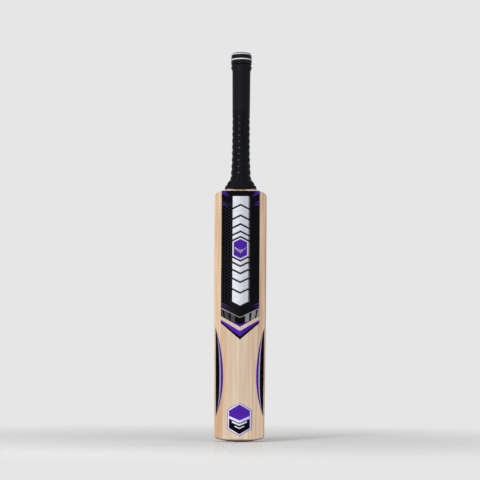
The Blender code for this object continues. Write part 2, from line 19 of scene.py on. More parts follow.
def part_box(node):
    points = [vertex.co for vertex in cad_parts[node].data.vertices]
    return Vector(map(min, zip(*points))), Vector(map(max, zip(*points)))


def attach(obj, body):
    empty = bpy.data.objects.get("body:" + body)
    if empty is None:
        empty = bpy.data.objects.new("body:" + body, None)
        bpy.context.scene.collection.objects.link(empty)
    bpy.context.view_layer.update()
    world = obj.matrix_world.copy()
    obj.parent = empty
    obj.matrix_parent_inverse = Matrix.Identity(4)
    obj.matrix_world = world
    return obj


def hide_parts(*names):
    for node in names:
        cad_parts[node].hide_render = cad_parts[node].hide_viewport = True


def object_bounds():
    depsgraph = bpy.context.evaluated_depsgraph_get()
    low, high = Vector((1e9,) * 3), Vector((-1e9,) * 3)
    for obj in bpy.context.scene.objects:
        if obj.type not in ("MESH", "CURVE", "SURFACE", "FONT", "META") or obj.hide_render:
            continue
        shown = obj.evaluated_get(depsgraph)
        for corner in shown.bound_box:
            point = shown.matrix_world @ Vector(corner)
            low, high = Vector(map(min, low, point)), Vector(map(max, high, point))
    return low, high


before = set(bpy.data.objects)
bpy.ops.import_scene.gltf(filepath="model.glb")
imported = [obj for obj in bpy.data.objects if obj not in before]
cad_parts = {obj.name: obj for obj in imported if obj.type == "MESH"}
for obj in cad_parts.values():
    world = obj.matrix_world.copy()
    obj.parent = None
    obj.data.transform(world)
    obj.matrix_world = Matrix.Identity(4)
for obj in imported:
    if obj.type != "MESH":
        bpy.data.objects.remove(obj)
CAD_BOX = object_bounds()

BODY = "root"
SHARP_ANGLE = math.radians(32.0)
WELD = 0.000001
MOTTLE_GRAIN = 0.35
MOTTLE_NOISE = (2.0, 0.6)
CLOUD_NOISE = (3.0, 0.55)
MOTTLE_SPAN = (0.36, 0.64)
SPECKLE_CELLS = (900.0, 900.0, 420.0)
SPECKLE_SHARE = 0.3
SPECKLE_NOISE = (2.0, 0.7)
PATCH_NOISE = (4.0, 0.65)
WEAR_START = 0.78
WEAR_REACH = 0.4
WEAR_EDGE = 0.16
SMALLEST_CELL = 0.12
PLACE = {"Place": "NodeSocketVector"}
GEOMETRY = {"Geometry": "NodeSocketGeometry"}
PAINT = {"Material": "NodeSocketMaterial"}
SOCKETS = {float: "NodeSocketFloat", int: "NodeSocketInt"}

Flat = tuple[float, float]
Point = tuple[float, float, float]
Colour = tuple[float, float, float]
Outline = Sequence[Flat]
Node = bpy.types.Node
Socket = bpy.types.NodeSocket
Tree = bpy.types.NodeTree
Material = bpy.types.Material
Mesh = bpy.types.Mesh
Meshes = dict[str, Mesh]
Piece = bpy.types.Object
BarSpan = tuple[float, float, float, float]
Looks = dict[str, tuple[Any, ...]]

log = logging.getLogger("bat")


class Side(Enum):
    """A side of the bat seen from the face, as the sign of X."""

    LEFT = -1
    RIGHT = 1


class Cut(Enum):
    """What a Boolean keeps."""

    AWAY = "DIFFERENCE"
    SHARED = "INTERSECT"
    JOINED = "UNION"


class CaneLayer(Enum):
    """The two layers of cane that reach the surface of the splice."""

    FRONT = "front"
    BACK = "back"


class Layer(Enum):
    """A level of the printed labels, from the film up."""

    FILM = 0
    LOW_INK = 1
    MIDDLE_INK = 2
    TOP_INK = 3


def blend(start: float, end: float, share: float) -> float:
    """The value a share of the way from start to end."""
    return start + (end - start) * share


def smooth(share: float) -> float:
    """A share eased at both ends and held between 0 and 1."""
    held = min(max(share, 0.0), 1.0)
    return held * held * (3.0 - 2.0 * held)


def shares(steps: int) -> list[float]:
    """Even shares from 0 to 1, both ends included."""
    return [step / steps for step in range(steps + 1)]


def mirrored(outline: Outline, side: Side) -> list[Flat]:
    """An outline drawn for the right side, on the side asked for."""
    return [(side.value * x, z) for x, z in outline]


def halves(right: Outline) -> list[Outline]:
    """An outline drawn for the right side, and its mirror image."""
    return [right, mirrored(right, Side.LEFT)]


def circle(radius: float, z: float, segments: int) -> list[Point]:
    """A level ring of points round the handle's axis."""
    turns = [2 * math.pi * share for share in shares(segments)[:-1]]
    return [(radius * math.cos(turn), radius * math.sin(turn), z) for turn in turns]


def finish_mesh(name: str, bm: bmesh.types.BMesh) -> Mesh:
    """Turns a bmesh into a mesh with outward faces.

    Args:
        name: The mesh's name.
        bm: The closed shape, which is freed.

    Returns:
        The new mesh.
    """
    bmesh.ops.recalc_face_normals(bm, faces=bm.faces)
    mesh = bpy.data.meshes.new(name)
    bm.to_mesh(mesh)
    bm.free()
    return mesh


def loft(name: str, rings: Sequence[Sequence[Point]], capped: bool = True) -> Mesh:
    """Makes a closed body through rings that all have the same number of points.

    Args:
        name: The mesh's name.
        rings: Points of each ring, in order along the body.
        capped: Whether the ends are closed by a face each, or the last ring joins the first.

    Returns:
        The body.
    """
    bm = bmesh.new()
    rows = [[bm.verts.new(point) for point in ring] for ring in rings]
    pairs = list(zip(rows, rows[1:]))
    if capped:
        bm.faces.new(rows[0])
        bm.faces.new(rows[-1])
    else:
        pairs.append((rows[-1], rows[0]))
    count = len(rings[0])
    for low, high in pairs:
        for i in range(count):
            j = (i + 1) % count
            bm.faces.new((low[i], low[j], high[j], high[i]))
    return finish_mesh(name, bm)


def turned(name: str, profile: Outline, segments: int) -> Mesh:
    """Turns a closed profile of radius and height, all off the axis, about the handle's axis."""
    return loft(name, [circle(radius, z, segments) for radius, z in profile], capped=False)


def prism(name: str, outline: Outline, depth: float) -> Mesh:
    """An outline in X and Z, as deep to the front and to the back as asked."""
    rings = [[(x, y, z) for x, z in outline] for y in (-depth, depth)]
    return loft(name, rings)


def linked(name: str, data: Any) -> Piece:
    """A new object in the scene."""
    bpy.context.scene.collection.objects.link(made := bpy.data.objects.new(name, data))
    return made


def settled(*hosts: Piece) -> Mesh:
    """Keeps a plain mesh of the first host as its modifiers leave it, and removes the hosts.

    Args:
        *hosts: The object, and what its modifiers use.

    Returns:
        The plain mesh, under the name of the first host's own.
    """
    graph = bpy.context.evaluated_depsgraph_get()
    made = bpy.data.meshes.new_from_object(hosts[0].evaluated_get(graph), depsgraph=graph)
    hosts[0].modifiers.clear()
    used = hosts[0].data
    for host in hosts:
        bpy.data.objects.remove(host, do_unlink=True)
    name = used.name
    bpy.data.meshes.remove(used)
    made.name = name
    return made


def carve(mesh: Mesh, tool: Mesh, cut: Cut) -> Mesh:
    """Combines two closed meshes.

    Args:
        mesh: The body.
        tool: What it is cut by, cut to or joined with.
        cut: What is kept.

    Returns:
        The combined mesh, under the body's name.
    """
    hosts = [linked("carving", data) for data in (mesh, tool)]
    boolean = hosts[0].modifiers.new("carve", "BOOLEAN")
    boolean.operation = cut.value
    boolean.solver = "EXACT"
    boolean.object = hosts[1]
    return settled(*hosts)


def grown(mesh: Mesh, tree: Tree, values: dict[str, Any]) -> Mesh:
    """Runs a geometry tree on a mesh and keeps the result as a plain mesh.

    Args:
        mesh: What the tree starts from, which is used up.
        tree: The geometry tree.
        values: Its inputs by name.

    Returns:
        The plain mesh.
    """
    host = linked("growing", mesh)
    modifier = host.modifiers.new("grow", "NODES")
    modifier.node_group = tree
    for item in tree.interface.items_tree:
        if item.item_type == "SOCKET" and item.in_out == "INPUT" and item.name in values:
            modifier[item.identifier] = values[item.name]
    return settled(host)


class Wires:
    """Adds nodes to a tree and links them as it goes."""

    def __init__(self, tree: Tree) -> None:
        """Keeps the tree that nodes are added to."""
        self.tree = tree

    def node(self, kind: str, inputs: dict[Any, Any] | None = None, **settings: Any) -> Node:
        """Adds one node.

        Args:
            kind: The node's type.
            inputs: Values or sockets for its inputs, by name or index.
            **settings: Its other properties.

        Returns:
            The node.
        """
        made = self.tree.nodes.new(kind)
        for key, value in settings.items():
            setattr(made, key, value)
        for key, value in (inputs or {}).items():
            if isinstance(value, Socket):
                self.tree.links.new(value, made.inputs[key])
            else:
                made.inputs[key].default_value = value
        return made

    def first(self, kind: str, inputs: dict[Any, Any] | None = None, **settings: Any) -> Socket:
        """The first output of a new node."""
        return self.node(kind, inputs, **settings).outputs[0]

    def link(self, value: Socket, socket: Socket) -> None:
        """Links an output to an input."""
        self.tree.links.new(value, socket)

    def given(self) -> Any:
        """A group's own inputs, as sockets to link."""
        return self.tree.nodes["Group Input"].outputs

    def give(self, **values: Socket) -> Tree:
        """Links a group's outputs.

        Args:
            **values: What each output gives, by its name.

        Returns:
            The finished group.
        """
        for name, value in values.items():
            self.link(value, self.tree.nodes["Group Output"].inputs[name])
        return self.tree

    def axis(self, place: Socket, name: str) -> Socket:
        """One coordinate of a place."""
        return self.node("ShaderNodeSeparateXYZ", {0: place}).outputs[name]

    def math(self, operation: str, *values: Any, clamp: bool = False) -> Socket:
        """The result of a Math node."""
        inputs = dict(enumerate(values))
        return self.first("ShaderNodeMath", inputs, operation=operation, use_clamp=clamp)

    def times(self, first: Any, second: Any, clamp: bool = False) -> Socket:
        """The product of two values."""
        return self.math("MULTIPLY", first, second, clamp=clamp)

    def less(self, first: Any, second: Any) -> Socket:
        """The first value less the second."""
        return self.math("SUBTRACT", first, second)

    def vector(self, operation: str, *values: Any) -> Socket:
        """The vector result of a Vector Math node."""
        return self.first("ShaderNodeVectorMath", dict(enumerate(values)), operation=operation)

    def span(self, value: Socket, low: Any, high: Any, to_low: float = 0.0, to_high: float = 1.0) -> Socket:
        """Eases a value from one span to another.

        Args:
            value: What is mapped.
            low: Where the old span starts.
            high: Where the old span ends.
            to_low: Where the new span starts.
            to_high: Where the new span ends.

        Returns:
            The mapped value, held within the new span.
        """
        inputs = {0: value, 1: low, 2: high, 3: to_low, 4: to_high}
        return self.first("ShaderNodeMapRange", inputs, interpolation_type="SMOOTHSTEP")

    def mix(self, share: Any, first: Any, second: Any, way: str = "MIX") -> Socket:
        """Blends two colours.

        Args:
            share: How much the second colour counts.
            first: The first colour.
            second: The second colour.
            way: How they are blended.

        Returns:
            The blended colour.
        """
        padded = [(*c, 1.0) if isinstance(c, tuple) else c for c in (first, second)]
        inputs = {0: share, 6: padded[0], 7: padded[1]}
        return self.node("ShaderNodeMix", inputs, data_type="RGBA", blend_type=way).outputs[2]

    def noise(self, place: Socket, stretch: Any, detail: float = 2.0, roughness: float = 0.5) -> Socket:
        """Noise with its own stretch along each axis.

        Args:
            place: Coordinates in metres.
            stretch: Cells a metre along X, Y and Z.
            detail: Octaves.
            roughness: How much the finer octaves count.

        Returns:
            A value about one half.
        """
        scaled = self.vector("MULTIPLY", place, stretch)
        inputs = {"Vector": scaled, "Scale": 1.0, "Detail": detail, "Roughness": roughness}
        return self.first("ShaderNodeTexNoise", inputs)


def new_group(kind: str, name: str, inputs: dict[str, Any], outputs: dict[str, Any]) -> Wires:
    """Makes a node group with its sockets and its end nodes.

    Args:
        kind: The tree's type.
        name: The group's name.
        inputs: Each input's start as a number, or its socket's type, by its name.
        outputs: The same for its outputs.

    Returns:
        The means to fill the group.
    """
    tree = bpy.data.node_groups.new(name, kind)
    for way, sockets in (("INPUT", inputs), ("OUTPUT", outputs)):
        for label, start in sockets.items():
            typed = SOCKETS.get(type(start), start)
            made = tree.interface.new_socket(label, in_out=way, socket_type=typed)
            if typed is not start:
                made.default_value = start
    tree.nodes.new("NodeGroupInput")
    tree.nodes.new("NodeGroupOutput")
    return Wires(tree)


@dataclass(frozen=True)
class GrainRule:
    """How wood varies: cells a metre of each noise, spans of the noise that count, and strengths."""

    drift_cells: Point = (9.0, 9.0, 2.6)
    jitter_cells: Point = (160.0, 60.0, 9.0)
    jitter: float = 0.0016
    bow: float = 1.6
    uneven_cells: float = 55.0
    uneven_years: float = 1.3
    late_power: float = 4.0
    late_end: float = 0.9
    break_cells: Point = (120.0, 120.0, 5.0)
    break_span: Flat = (0.3, 0.6)
    break_least: float = 0.35
    ring_gain: float = 1.1
    ring_least: float = 0.25
    ring_relief: float = -0.35
    streak_cells: Flat = (40.0, 5.5)
    streak_noise: Flat = (2.5, 0.55)
    streak_span: Flat = (0.34, 0.66)
    fibre_noise: Flat = (3.0, 0.62)
    fibre_span: Flat = (0.42, 0.72)
    tone_cells: Point = (48.0, 30.0, 3.2)
    tone_noise: Flat = (3.0, 0.55)
    tone_span: Flat = (0.3, 0.7)


@functools.cache
def wood_grain() -> Tree:
    """The grain of split or sawn wood: growth rings as upright sheets, streaks and fibres along Z.

    Returns:
        A shader group with Across, in metres, and Rings, Streaks, Fibres, Tone and Relief, each from 0 to 1.
    """
    rule = GrainRule()
    inputs = {"Ring Spacing": 0.009, "Waviness": 0.004, "Streak Width": 0.004}
    inputs |= {"Fibre Width": 0.0006, "Fibre Length": 0.03}
    outputs = dict.fromkeys(("Across", "Rings", "Streaks", "Fibres", "Tone", "Relief"), 0.0)
    wires = new_group("ShaderNodeTree", "Wood Grain", PLACE | inputs, outputs)
    given = wires.given()
    place = given["Place"]
    axes = wires.node("ShaderNodeSeparateXYZ", {0: place}).outputs
    drift = wires.less(wires.noise(place, rule.drift_cells), 0.5)
    shaken = wires.less(wires.noise(place, rule.jitter_cells), 0.5)
    sway = wires.times(drift, given["Waviness"])
    jitter = wires.times(shaken, rule.jitter)
    bowed = wires.times(wires.times(axes["Y"], axes["Y"]), rule.bow)
    across = wires.math("ADD", wires.math("ADD", axes["X"], sway), wires.math("ADD", jitter, bowed))
    line = {"W": across, "Scale": rule.uneven_cells, "Detail": 0.0}
    uneven = wires.first("ShaderNodeTexNoise", line, noise_dimensions="1D")
    count = wires.math("DIVIDE", across, given["Ring Spacing"])
    count = wires.math("ADD", count, wires.times(uneven, rule.uneven_years))
    year = wires.math("FRACT", count)
    fading = wires.span(year, rule.late_end, 1.0, 1.0, 0.0)
    late = wires.times(wires.math("POWER", year, rule.late_power), fading)
    whole = {"W": wires.math("FLOOR", count)}
    strength = wires.first("ShaderNodeTexWhiteNoise", whole, noise_dimensions="1D")
    breaks = wires.span(wires.noise(place, rule.break_cells), *rule.break_span, rule.break_least, 1.0)
    gained = wires.math("MULTIPLY_ADD", strength, rule.ring_gain, rule.ring_least)
    rings = wires.times(wires.times(late, gained), breaks, clamp=True)
    straight = wires.first("ShaderNodeCombineXYZ", {0: across, 1: axes["Y"], 2: axes["Z"]})
    wide = wires.math("DIVIDE", 1.0, given["Streak Width"])
    deep, tall = rule.streak_cells
    stretch = wires.first("ShaderNodeCombineXYZ", {0: wide, 1: deep, 2: tall})
    streaks = wires.span(wires.noise(straight, stretch, *rule.streak_noise), *rule.streak_span)
    thin = wires.math("DIVIDE", 1.0, given["Fibre Width"])
    slow = wires.math("DIVIDE", 1.0, given["Fibre Length"])
    stretch = wires.first("ShaderNodeCombineXYZ", {0: thin, 1: thin, 2: slow})
    fibres = wires.span(wires.noise(straight, stretch, *rule.fibre_noise), *rule.fibre_span)
    broad = wires.noise(place, rule.tone_cells, *rule.tone_noise)
    return wires.give(
        Across=across,
        Rings=rings,
        Streaks=streaks,
        Fibres=fibres,
        Tone=wires.span(broad, *rule.tone_span),
        Relief=wires.math("MULTIPLY_ADD", rings, rule.ring_relief, wires.less(1.0, fibres)),
    )


@functools.cache
def surface_mottle() -> Tree:
    """The fine unevenness of moulded rubber or printed film.

    Returns:
        A shader group with Shade, from 0 to 1, and Relief.
    """
    inputs = PLACE | {"Grain Size": 0.0008, "Cloud Size": 0.02}
    wires = new_group("ShaderNodeTree", "Surface Mottle", inputs, {"Shade": 0.0, "Relief": 0.0})
    given = wires.given()
    place = given["Place"]
    grain = wires.noise(place, wires.math("DIVIDE", 1.0, given["Grain Size"]), *MOTTLE_NOISE)
    cloud = wires.noise(place, wires.math("DIVIDE", 1.0, given["Cloud Size"]), *CLOUD_NOISE)
    clouded = wires.times(cloud, 1.0 - MOTTLE_GRAIN)
    both = wires.math("MULTIPLY_ADD", grain, MOTTLE_GRAIN, clouded)
    return wires.give(Shade=wires.span(both, *MOTTLE_SPAN), Relief=grain)


@functools.cache
def handling_wear() -> Tree:
    """Patches where a surface has been rubbed or soiled by hands and ground.

    Returns:
        A shader group with Mask, from 0 to 1.
    """
    inputs = PLACE | {"Patch Size": 0.03, "Amount": 0.3}
    wires = new_group("ShaderNodeTree", "Handling Wear", inputs, {"Mask": 0.0})
    given = wires.given()
    place = given["Place"]
    patches = wires.noise(place, wires.math("DIVIDE", 1.0, given["Patch Size"]), *PATCH_NOISE)
    speckle = wires.noise(place, SPECKLE_CELLS, *SPECKLE_NOISE)
    patched = wires.times(patches, 1.0 - SPECKLE_SHARE)
    broken = wires.math("MULTIPLY_ADD", speckle, SPECKLE_SHARE, patched)
    edge = wires.less(WEAR_START, wires.times(given["Amount"], WEAR_REACH))
    return wires.give(Mask=wires.span(broken, edge, wires.math("ADD", edge, WEAR_EDGE)))


@dataclass(frozen=True)
class Finish:
    """What a surface is made of: its name, the record's slot and its plain shader values."""

    name: str
    slot: str
    roughness: float
    shine: float = 0.5
    coat: float = 0.0
    coat_roughness: float = 0.2
    bump: float = 0.25
    grain_depth: float = 0.0004

    def start(self) -> tuple[Material, Wires, Node, Socket]:
        """Makes the material with its shader.

        Returns:
            The material, the means to fill it, its shader and the object coordinates.
        """
        material = bpy.data.materials.new(self.name)
        material.use_nodes = True
        wires = Wires(material.node_tree)
        shader = material.node_tree.nodes["Principled BSDF"]
        shader.inputs["Roughness"].default_value = self.roughness
        shader.inputs["Specular IOR Level"].default_value = self.shine
        shader.inputs["Coat Weight"].default_value = self.coat
        shader.inputs["Coat Roughness"].default_value = self.coat_roughness
        return material, wires, shader, wires.node("ShaderNodeTexCoord").outputs["Object"]

    def effect(self, wires: Wires, tree: Tree, place: Socket, **values: float) -> Any:
        """The outputs of a shared effect at a place, with underscores for spaces in its inputs' names."""
        inputs = {key.replace("_", " "): value for key, value in values.items()}
        return wires.node("ShaderNodeGroup", {"Place": place} | inputs, node_tree=tree).outputs

    def relief(self, wires: Wires, shader: Node, height: Socket) -> None:
        """Gives the shader the finish's bump from a height."""
        inputs = {"Height": height, "Strength": self.bump, "Distance": self.grain_depth}
        wires.link(wires.first("ShaderNodeBump", inputs), shader.inputs["Normal"])

    def material(self) -> Material:
        """The finished material."""
        raise NotImplementedError


@dataclass(frozen=True, kw_only=True)
class Wood(Finish):
    """Wood with its grain up the bat, which may have painted light on the left side, painted shade on the
    right side and painted shade along the toe's lower edge.
    """

    pale: Colour
    deep: Colour
    blush: Colour = (0.9, 0.82, 0.74)
    ring: Colour
    fibre: Colour
    # Colour of real soil in worn patches, also used as painted shade along the toe.
    soil_and_shade: Colour
    # Painted light paling the left side and painted shade darkening the right side, as from a lamp at the
    # left, each eased in from the toe.
    painted_light: Colour = (0.8, 0.56, 0.36)
    painted_light_share: float = 0.0
    painted_light_low: float = 0.0
    painted_shade: Colour = (0.6, 0.42, 0.28)
    painted_shade_share: float = 0.0
    painted_shade_low: float = 0.0
    side_from: float = 0.012
    side_to: float = 0.050
    side_stray: float = 0.016
    line: Colour = (0.5, 0.3, 0.15)
    line_share: float = 0.0
    line_at: float = 0.0
    line_lean: float = 0.0
    line_half: float = 0.003
    line_power: float = 1.0
    line_low: float = 0.05
    line_high: float = 0.35
    # Painted shade along the toe: how high it reaches and how strongly it darkens.
    toe_shade_height: float = 0.0
    toe_shade_share: float = 0.7
    ring_spacing: float
    ring_share: float = 0.6
    streak_width: float = 0.0042
    streak_share: float = 0.5
    streak_edge: float = 0.5
    fibre_width: float
    fibre_length: float
    fibre_share: float
    fibre_rough: float = 0.12
    waviness: float = 0.006
    wear: float = 0.25
    wear_patch: float = 0.05
    wear_share: float = 0.25

    def material(self) -> Material:
        """Makes the material.

        Returns:
            The finished material.
        """
        material, wires, shader, place = self.start()
        grain = self.effect(
            wires,
            wood_grain(),
            place,
            Ring_Spacing=self.ring_spacing,
            Waviness=self.waviness,
            Streak_Width=self.streak_width,
            Fibre_Width=self.fibre_width,
            Fibre_Length=self.fibre_length,
        )
        worn = self.effect(wires, handling_wear(), place, Patch_Size=self.wear_patch, Amount=self.wear)
        colour = wires.mix(grain["Tone"], self.pale, self.deep)
        height = wires.axis(place, "Z")
        stray = wires.less(grain["Streaks"], 0.5)
        drawn = wires.math("MULTIPLY_ADD", stray, self.side_stray, grain["Across"])
        # Painted light and shade: the left side is paled and the right side darkened, as light falls from the
        # key lamp at the left.
        sides = (
            (self.painted_light, self.painted_light_low, self.painted_light_share, -1.0),
            (self.painted_shade, self.painted_shade_low, self.painted_shade_share, 1.0),
        )
        for tint, low, high, way in sides:
            if high:
                side = wires.span(wires.times(drawn, way), self.side_from, self.side_to)
                share = wires.span(height, self.line_low, self.line_high, low, high)
                colour = wires.mix(wires.times(side, share), colour, tint)
        aside = wires.math("ABSOLUTE", grain["Across"])
        strength = wires.span(aside, self.side_from, self.side_to, self.streak_share, self.streak_edge)
        streaked = wires.times(grain["Streaks"], strength)
        colour = wires.mix(streaked, colour, self.blush, "MULTIPLY")
        if self.line_share:
            middle = wires.math("MULTIPLY_ADD", height, self.line_lean, self.line_at)
            off = wires.math("ABSOLUTE", wires.less(grain["Across"], middle))
            near = wires.math("POWER", wires.span(off, 0.0, self.line_half, 1.0, 0.0), self.line_power)
            low = wires.span(height, self.line_low, self.line_high, self.line_share, 0.0)
            colour = wires.mix(wires.times(near, low), colour, self.line)
        colour = wires.mix(wires.times(grain["Rings"], self.ring_share), colour, self.ring)
        colour = wires.mix(wires.times(grain["Fibres"], self.fibre_share), colour, self.fibre)
        colour = wires.mix(wires.times(worn["Mask"], self.wear_share), colour, self.soil_and_shade)
        # Painted shade: the toe's lowest few millimetres are darkened where the contact shadow falls by the
        # floor.
        if self.toe_shade_height:
            colour = wires.mix(wires.span(height, 0.0, self.toe_shade_height, self.toe_shade_share, 0.0), colour, self.soil_and_shade)
        wires.link(colour, shader.inputs["Base Color"])
        rough = wires.span(grain["Fibres"], 0.0, 1.0, self.roughness, self.roughness + self.fibre_rough)
        wires.link(rough, shader.inputs["Roughness"])
        self.relief(wires, shader, grain["Relief"])
        return material


@dataclass(frozen=True, kw_only=True)
class Rubber(Finish):
    """Moulded rubber with a fine grain, rubbed in places, which may be plainer and paler above a height."""

    colour: Colour
    rubbed: Colour = (0.03, 0.03, 0.032)
    mottle_gain: float = 1.35
    grain_size: float = 0.0009
    cloud_size: float = 0.018
    wear: float = 0.35
    wear_patch: float = 0.02
    wear_share: float = 0.6
    rough_spread: Flat = (-0.05, 0.08)
    bump: float = 0.35
    grain_depth: float = 0.0003
    coat_top: float = 0.0
    coat_ease: float = 0.012
    plain: Colour = (0.012, 0.012, 0.013)

    def material(self) -> Material:
        """Makes the material.

        Returns:
            The finished material.
        """
        material, wires, shader, place = self.start()
        sizes = {"Grain_Size": self.grain_size, "Cloud_Size": self.cloud_size}
        mottle = self.effect(wires, surface_mottle(), place, **sizes)
        worn = self.effect(wires, handling_wear(), place, Patch_Size=self.wear_patch, Amount=self.wear)
        light = tuple(self.mottle_gain * part for part in self.colour)
        colour = wires.mix(mottle["Shade"], self.colour, light)
        colour = wires.mix(wires.times(worn["Mask"], self.wear_share), colour, self.rubbed)
        if self.coat_top:
            height = wires.axis(place, "Z")
            glossy = wires.span(height, self.coat_top, self.coat_top + self.coat_ease, 1.0, 0.0)
            wires.link(wires.times(glossy, self.coat), shader.inputs["Coat Weight"])
            colour = wires.mix(glossy, self.plain, colour)
        wires.link(colour, shader.inputs["Base Color"])
        spread = (self.roughness + change for change in self.rough_spread)
        rough = wires.span(mottle["Shade"], 0.0, 1.0, *spread)
        wires.link(rough, shader.inputs["Roughness"])
        self.relief(wires, shader, mottle["Relief"])
        return material


@dataclass(frozen=True, kw_only=True)
class Ink(Finish):
    """Printed film or foil: a mottled colour, which may fade to another across X, outwards or upwards, as
    print or, on the chevron film, as painted shade.
    """

    roughness: float = 0.4
    colour: Colour
    mottled: Colour
    fade: Colour | None = None
    fade_from: float = 0.0
    fade_to: float = 0.0
    fade_outwards: bool = False
    fade_low: float = 0.0
    fade_high: float = 0.0
    grain_size: float = 0.0012
    cloud_size: float = 0.012
    wear: float = 0.2
    wear_patch: float = 0.03
    scuff: float = 0.15
    bump: float = 0.06
    grain_depth: float = 0.0001

    def material(self) -> Material:
        """Makes the material.

        Returns:
            The finished material.
        """
        material, wires, shader, place = self.start()
        sizes = {"Grain_Size": self.grain_size, "Cloud_Size": self.cloud_size}
        mottle = self.effect(wires, surface_mottle(), place, **sizes)
        worn = self.effect(wires, handling_wear(), place, Patch_Size=self.wear_patch, Amount=self.wear)
        colour = wires.mix(mottle["Shade"], self.colour, self.mottled)
        if self.fade is not None:
            parts = wires.node("ShaderNodeSeparateXYZ", {0: place}).outputs
            across = wires.math("ABSOLUTE", parts["X"]) if self.fade_outwards else parts["X"]
            share = wires.span(across, self.fade_from, self.fade_to)
            if self.fade_high:
                share = wires.math("MAXIMUM", share, wires.span(parts["Z"], self.fade_low, self.fade_high))
            colour = wires.mix(share, colour, self.fade)
        wires.link(colour, shader.inputs["Base Color"])
        scuffed = wires.span(worn["Mask"], 0.0, 1.0, self.roughness, self.roughness + self.scuff)
        wires.link(scuffed, shader.inputs["Roughness"])
        self.relief(wires, shader, mottle["Relief"])
        return material


@dataclass(frozen=True)
class Twine(Finish):
    """Waxed thread wound closely round the handle, with painted shade in the grooves between turns."""

    colour: Colour = (0.47, 0.38, 0.24)
    # The groove colour is painted shade between the turns of thread.
    groove: Colour = (0.22, 0.16, 0.09)
    thread: float = 0.0011
    bump: float = 0.7
    grain_depth: float = 0.00055

    def material(self) -> Material:
        """Makes the material, with one turn of thread for each thread's width up the handle.

        Returns:
            The finished material.
        """
        material, wires, shader, place = self.start()
        height = wires.axis(place, "Z")
        turn = wires.times(height, math.pi / self.thread)
        crown = wires.math("ABSOLUTE", wires.math("SINE", turn))
        # Painted shade: the colour darkens from each thread's crown into the groove between turns.
        wires.link(wires.mix(crown, self.groove, self.colour), shader.inputs["Base Color"])
        self.relief(wires, shader, crown)
        return material


# The willow's pale left side and dark right side are painted light and shade, and its dark toe edge is
# painted shade.
WILLOW = Wood(
    "willow", "willow", roughness=0.5, shine=0.25, pale=(0.72, 0.59, 0.462), deep=(0.615, 0.497, 0.385),
    blush=(0.74, 0.625, 0.520), ring=(0.48, 0.29, 0.15), fibre=(0.50, 0.36, 0.24), soil_and_shade=(0.22, 0.15, 0.10),
    painted_light=(0.90, 0.645, 0.42), painted_light_share=0.7, painted_light_low=0.1, painted_shade=(0.56, 0.395, 0.27), painted_shade_share=0.85,
    painted_shade_low=0.52, line=(0.52, 0.31, 0.16), line_share=0.9, line_at=-0.0447, line_lean=0.07,
    line_half=0.030, line_power=2.6, toe_shade_height=0.0038, toe_shade_share=0.95, ring_spacing=0.0105,
    streak_share=0.36, streak_edge=0.85, fibre_width=0.0013, fibre_length=0.06, fibre_share=0.45,
)
CANE = Wood(
    "cane", "cane", roughness=0.55, shine=0.3, pale=(0.62, 0.42, 0.22), deep=(0.52, 0.33, 0.16),
    ring=(0.36, 0.21, 0.09), fibre=(0.30, 0.17, 0.07), soil_and_shade=(0.25, 0.17, 0.10), ring_spacing=0.0035,
    ring_share=0.35, fibre_width=0.0004, fibre_length=0.02, fibre_share=0.6, waviness=0.001,
)
SPRING_RUBBER = Rubber(
    "spring_rubber", "spring_rubber", roughness=0.75, shine=0.3, colour=(0.04, 0.034, 0.03),
)
GRIP_RUBBER = Rubber(
    "grip_rubber", "black_rubber", roughness=0.43, shine=0.062, coat=0.06, coat_roughness=0.14,
    coat_top=0.69, plain=(0.0074, 0.0077, 0.0098), colour=(0.0016, 0.0018, 0.0032),
    rubbed=(0.0030, 0.0032, 0.0048), bump=0.2,
)
COLLAR_RUBBER = replace(
    GRIP_RUBBER, name="collar_rubber", coat=0.14, coat_roughness=0.23, coat_top=0.0,
)
RING_RUBBER = Rubber(
    "ring_rubber", "white_rubber", roughness=0.45, shine=0.4, colour=(0.66, 0.66, 0.70),
    rubbed=(0.50, 0.49, 0.48), wear=0.25, bump=0.1,
)
WAXED_TWINE = Twine("waxed_twine", "twine", roughness=0.7)
BLACK_FILM = Ink(
    "black_film", "black_film", shine=0.02, colour=(0.0014, 0.0014, 0.0020),
    mottled=(0.0022, 0.0022, 0.0030),
)
PANEL_FILM = Ink(
    "panel_film", "black_film", shine=0.02, colour=(0.0114, 0.0114, 0.0140),
    mottled=(0.0132, 0.0132, 0.0162), fade=(0.0034, 0.0034, 0.0046), fade_from=-0.026, fade_to=0.006,
    fade_low=0.492, fade_high=0.504,
)
CELL_INK = Ink(
    "cell_ink", "black_film", shine=0.01, colour=(0.0003, 0.0003, 0.0005), mottled=(0.0006, 0.0006, 0.0009),
)
SILVER_INK = Ink(
    "silver_ink", "white_rubber", shine=0.3, colour=(0.80, 0.81, 0.87), mottled=(0.66, 0.67, 0.74),
    fade=(0.50, 0.51, 0.58), fade_from=-0.010, fade_to=0.012, cloud_size=0.006,
)
SHADE_INK = Ink(
    "shade_ink", "black_film", shine=0.05, colour=(0.15, 0.15, 0.16), mottled=(0.19, 0.19, 0.20),
    fade=(0.012, 0.012, 0.014), fade_from=0.0164, fade_to=0.0204,
)
LINE_SILVER = Ink(
    "line_silver", "white_rubber", shine=0.2, colour=(0.40, 0.39, 0.46), mottled=(0.34, 0.33, 0.40),
)
LINE_INK = Ink(
    "line_ink", "black_film", shine=0.1, colour=(0.42, 0.31, 0.23), mottled=(0.36, 0.27, 0.20),
    fade=(0.17, 0.17, 0.165), fade_from=-0.036, fade_to=-0.014,
)
BLOCK_INK = Ink(
    "block_ink", "black_film", shine=0.1, colour=(0.036, 0.038, 0.044), mottled=(0.050, 0.052, 0.058),
    fade=(0.205, 0.205, 0.195), fade_from=-0.008, fade_to=0.008,
)
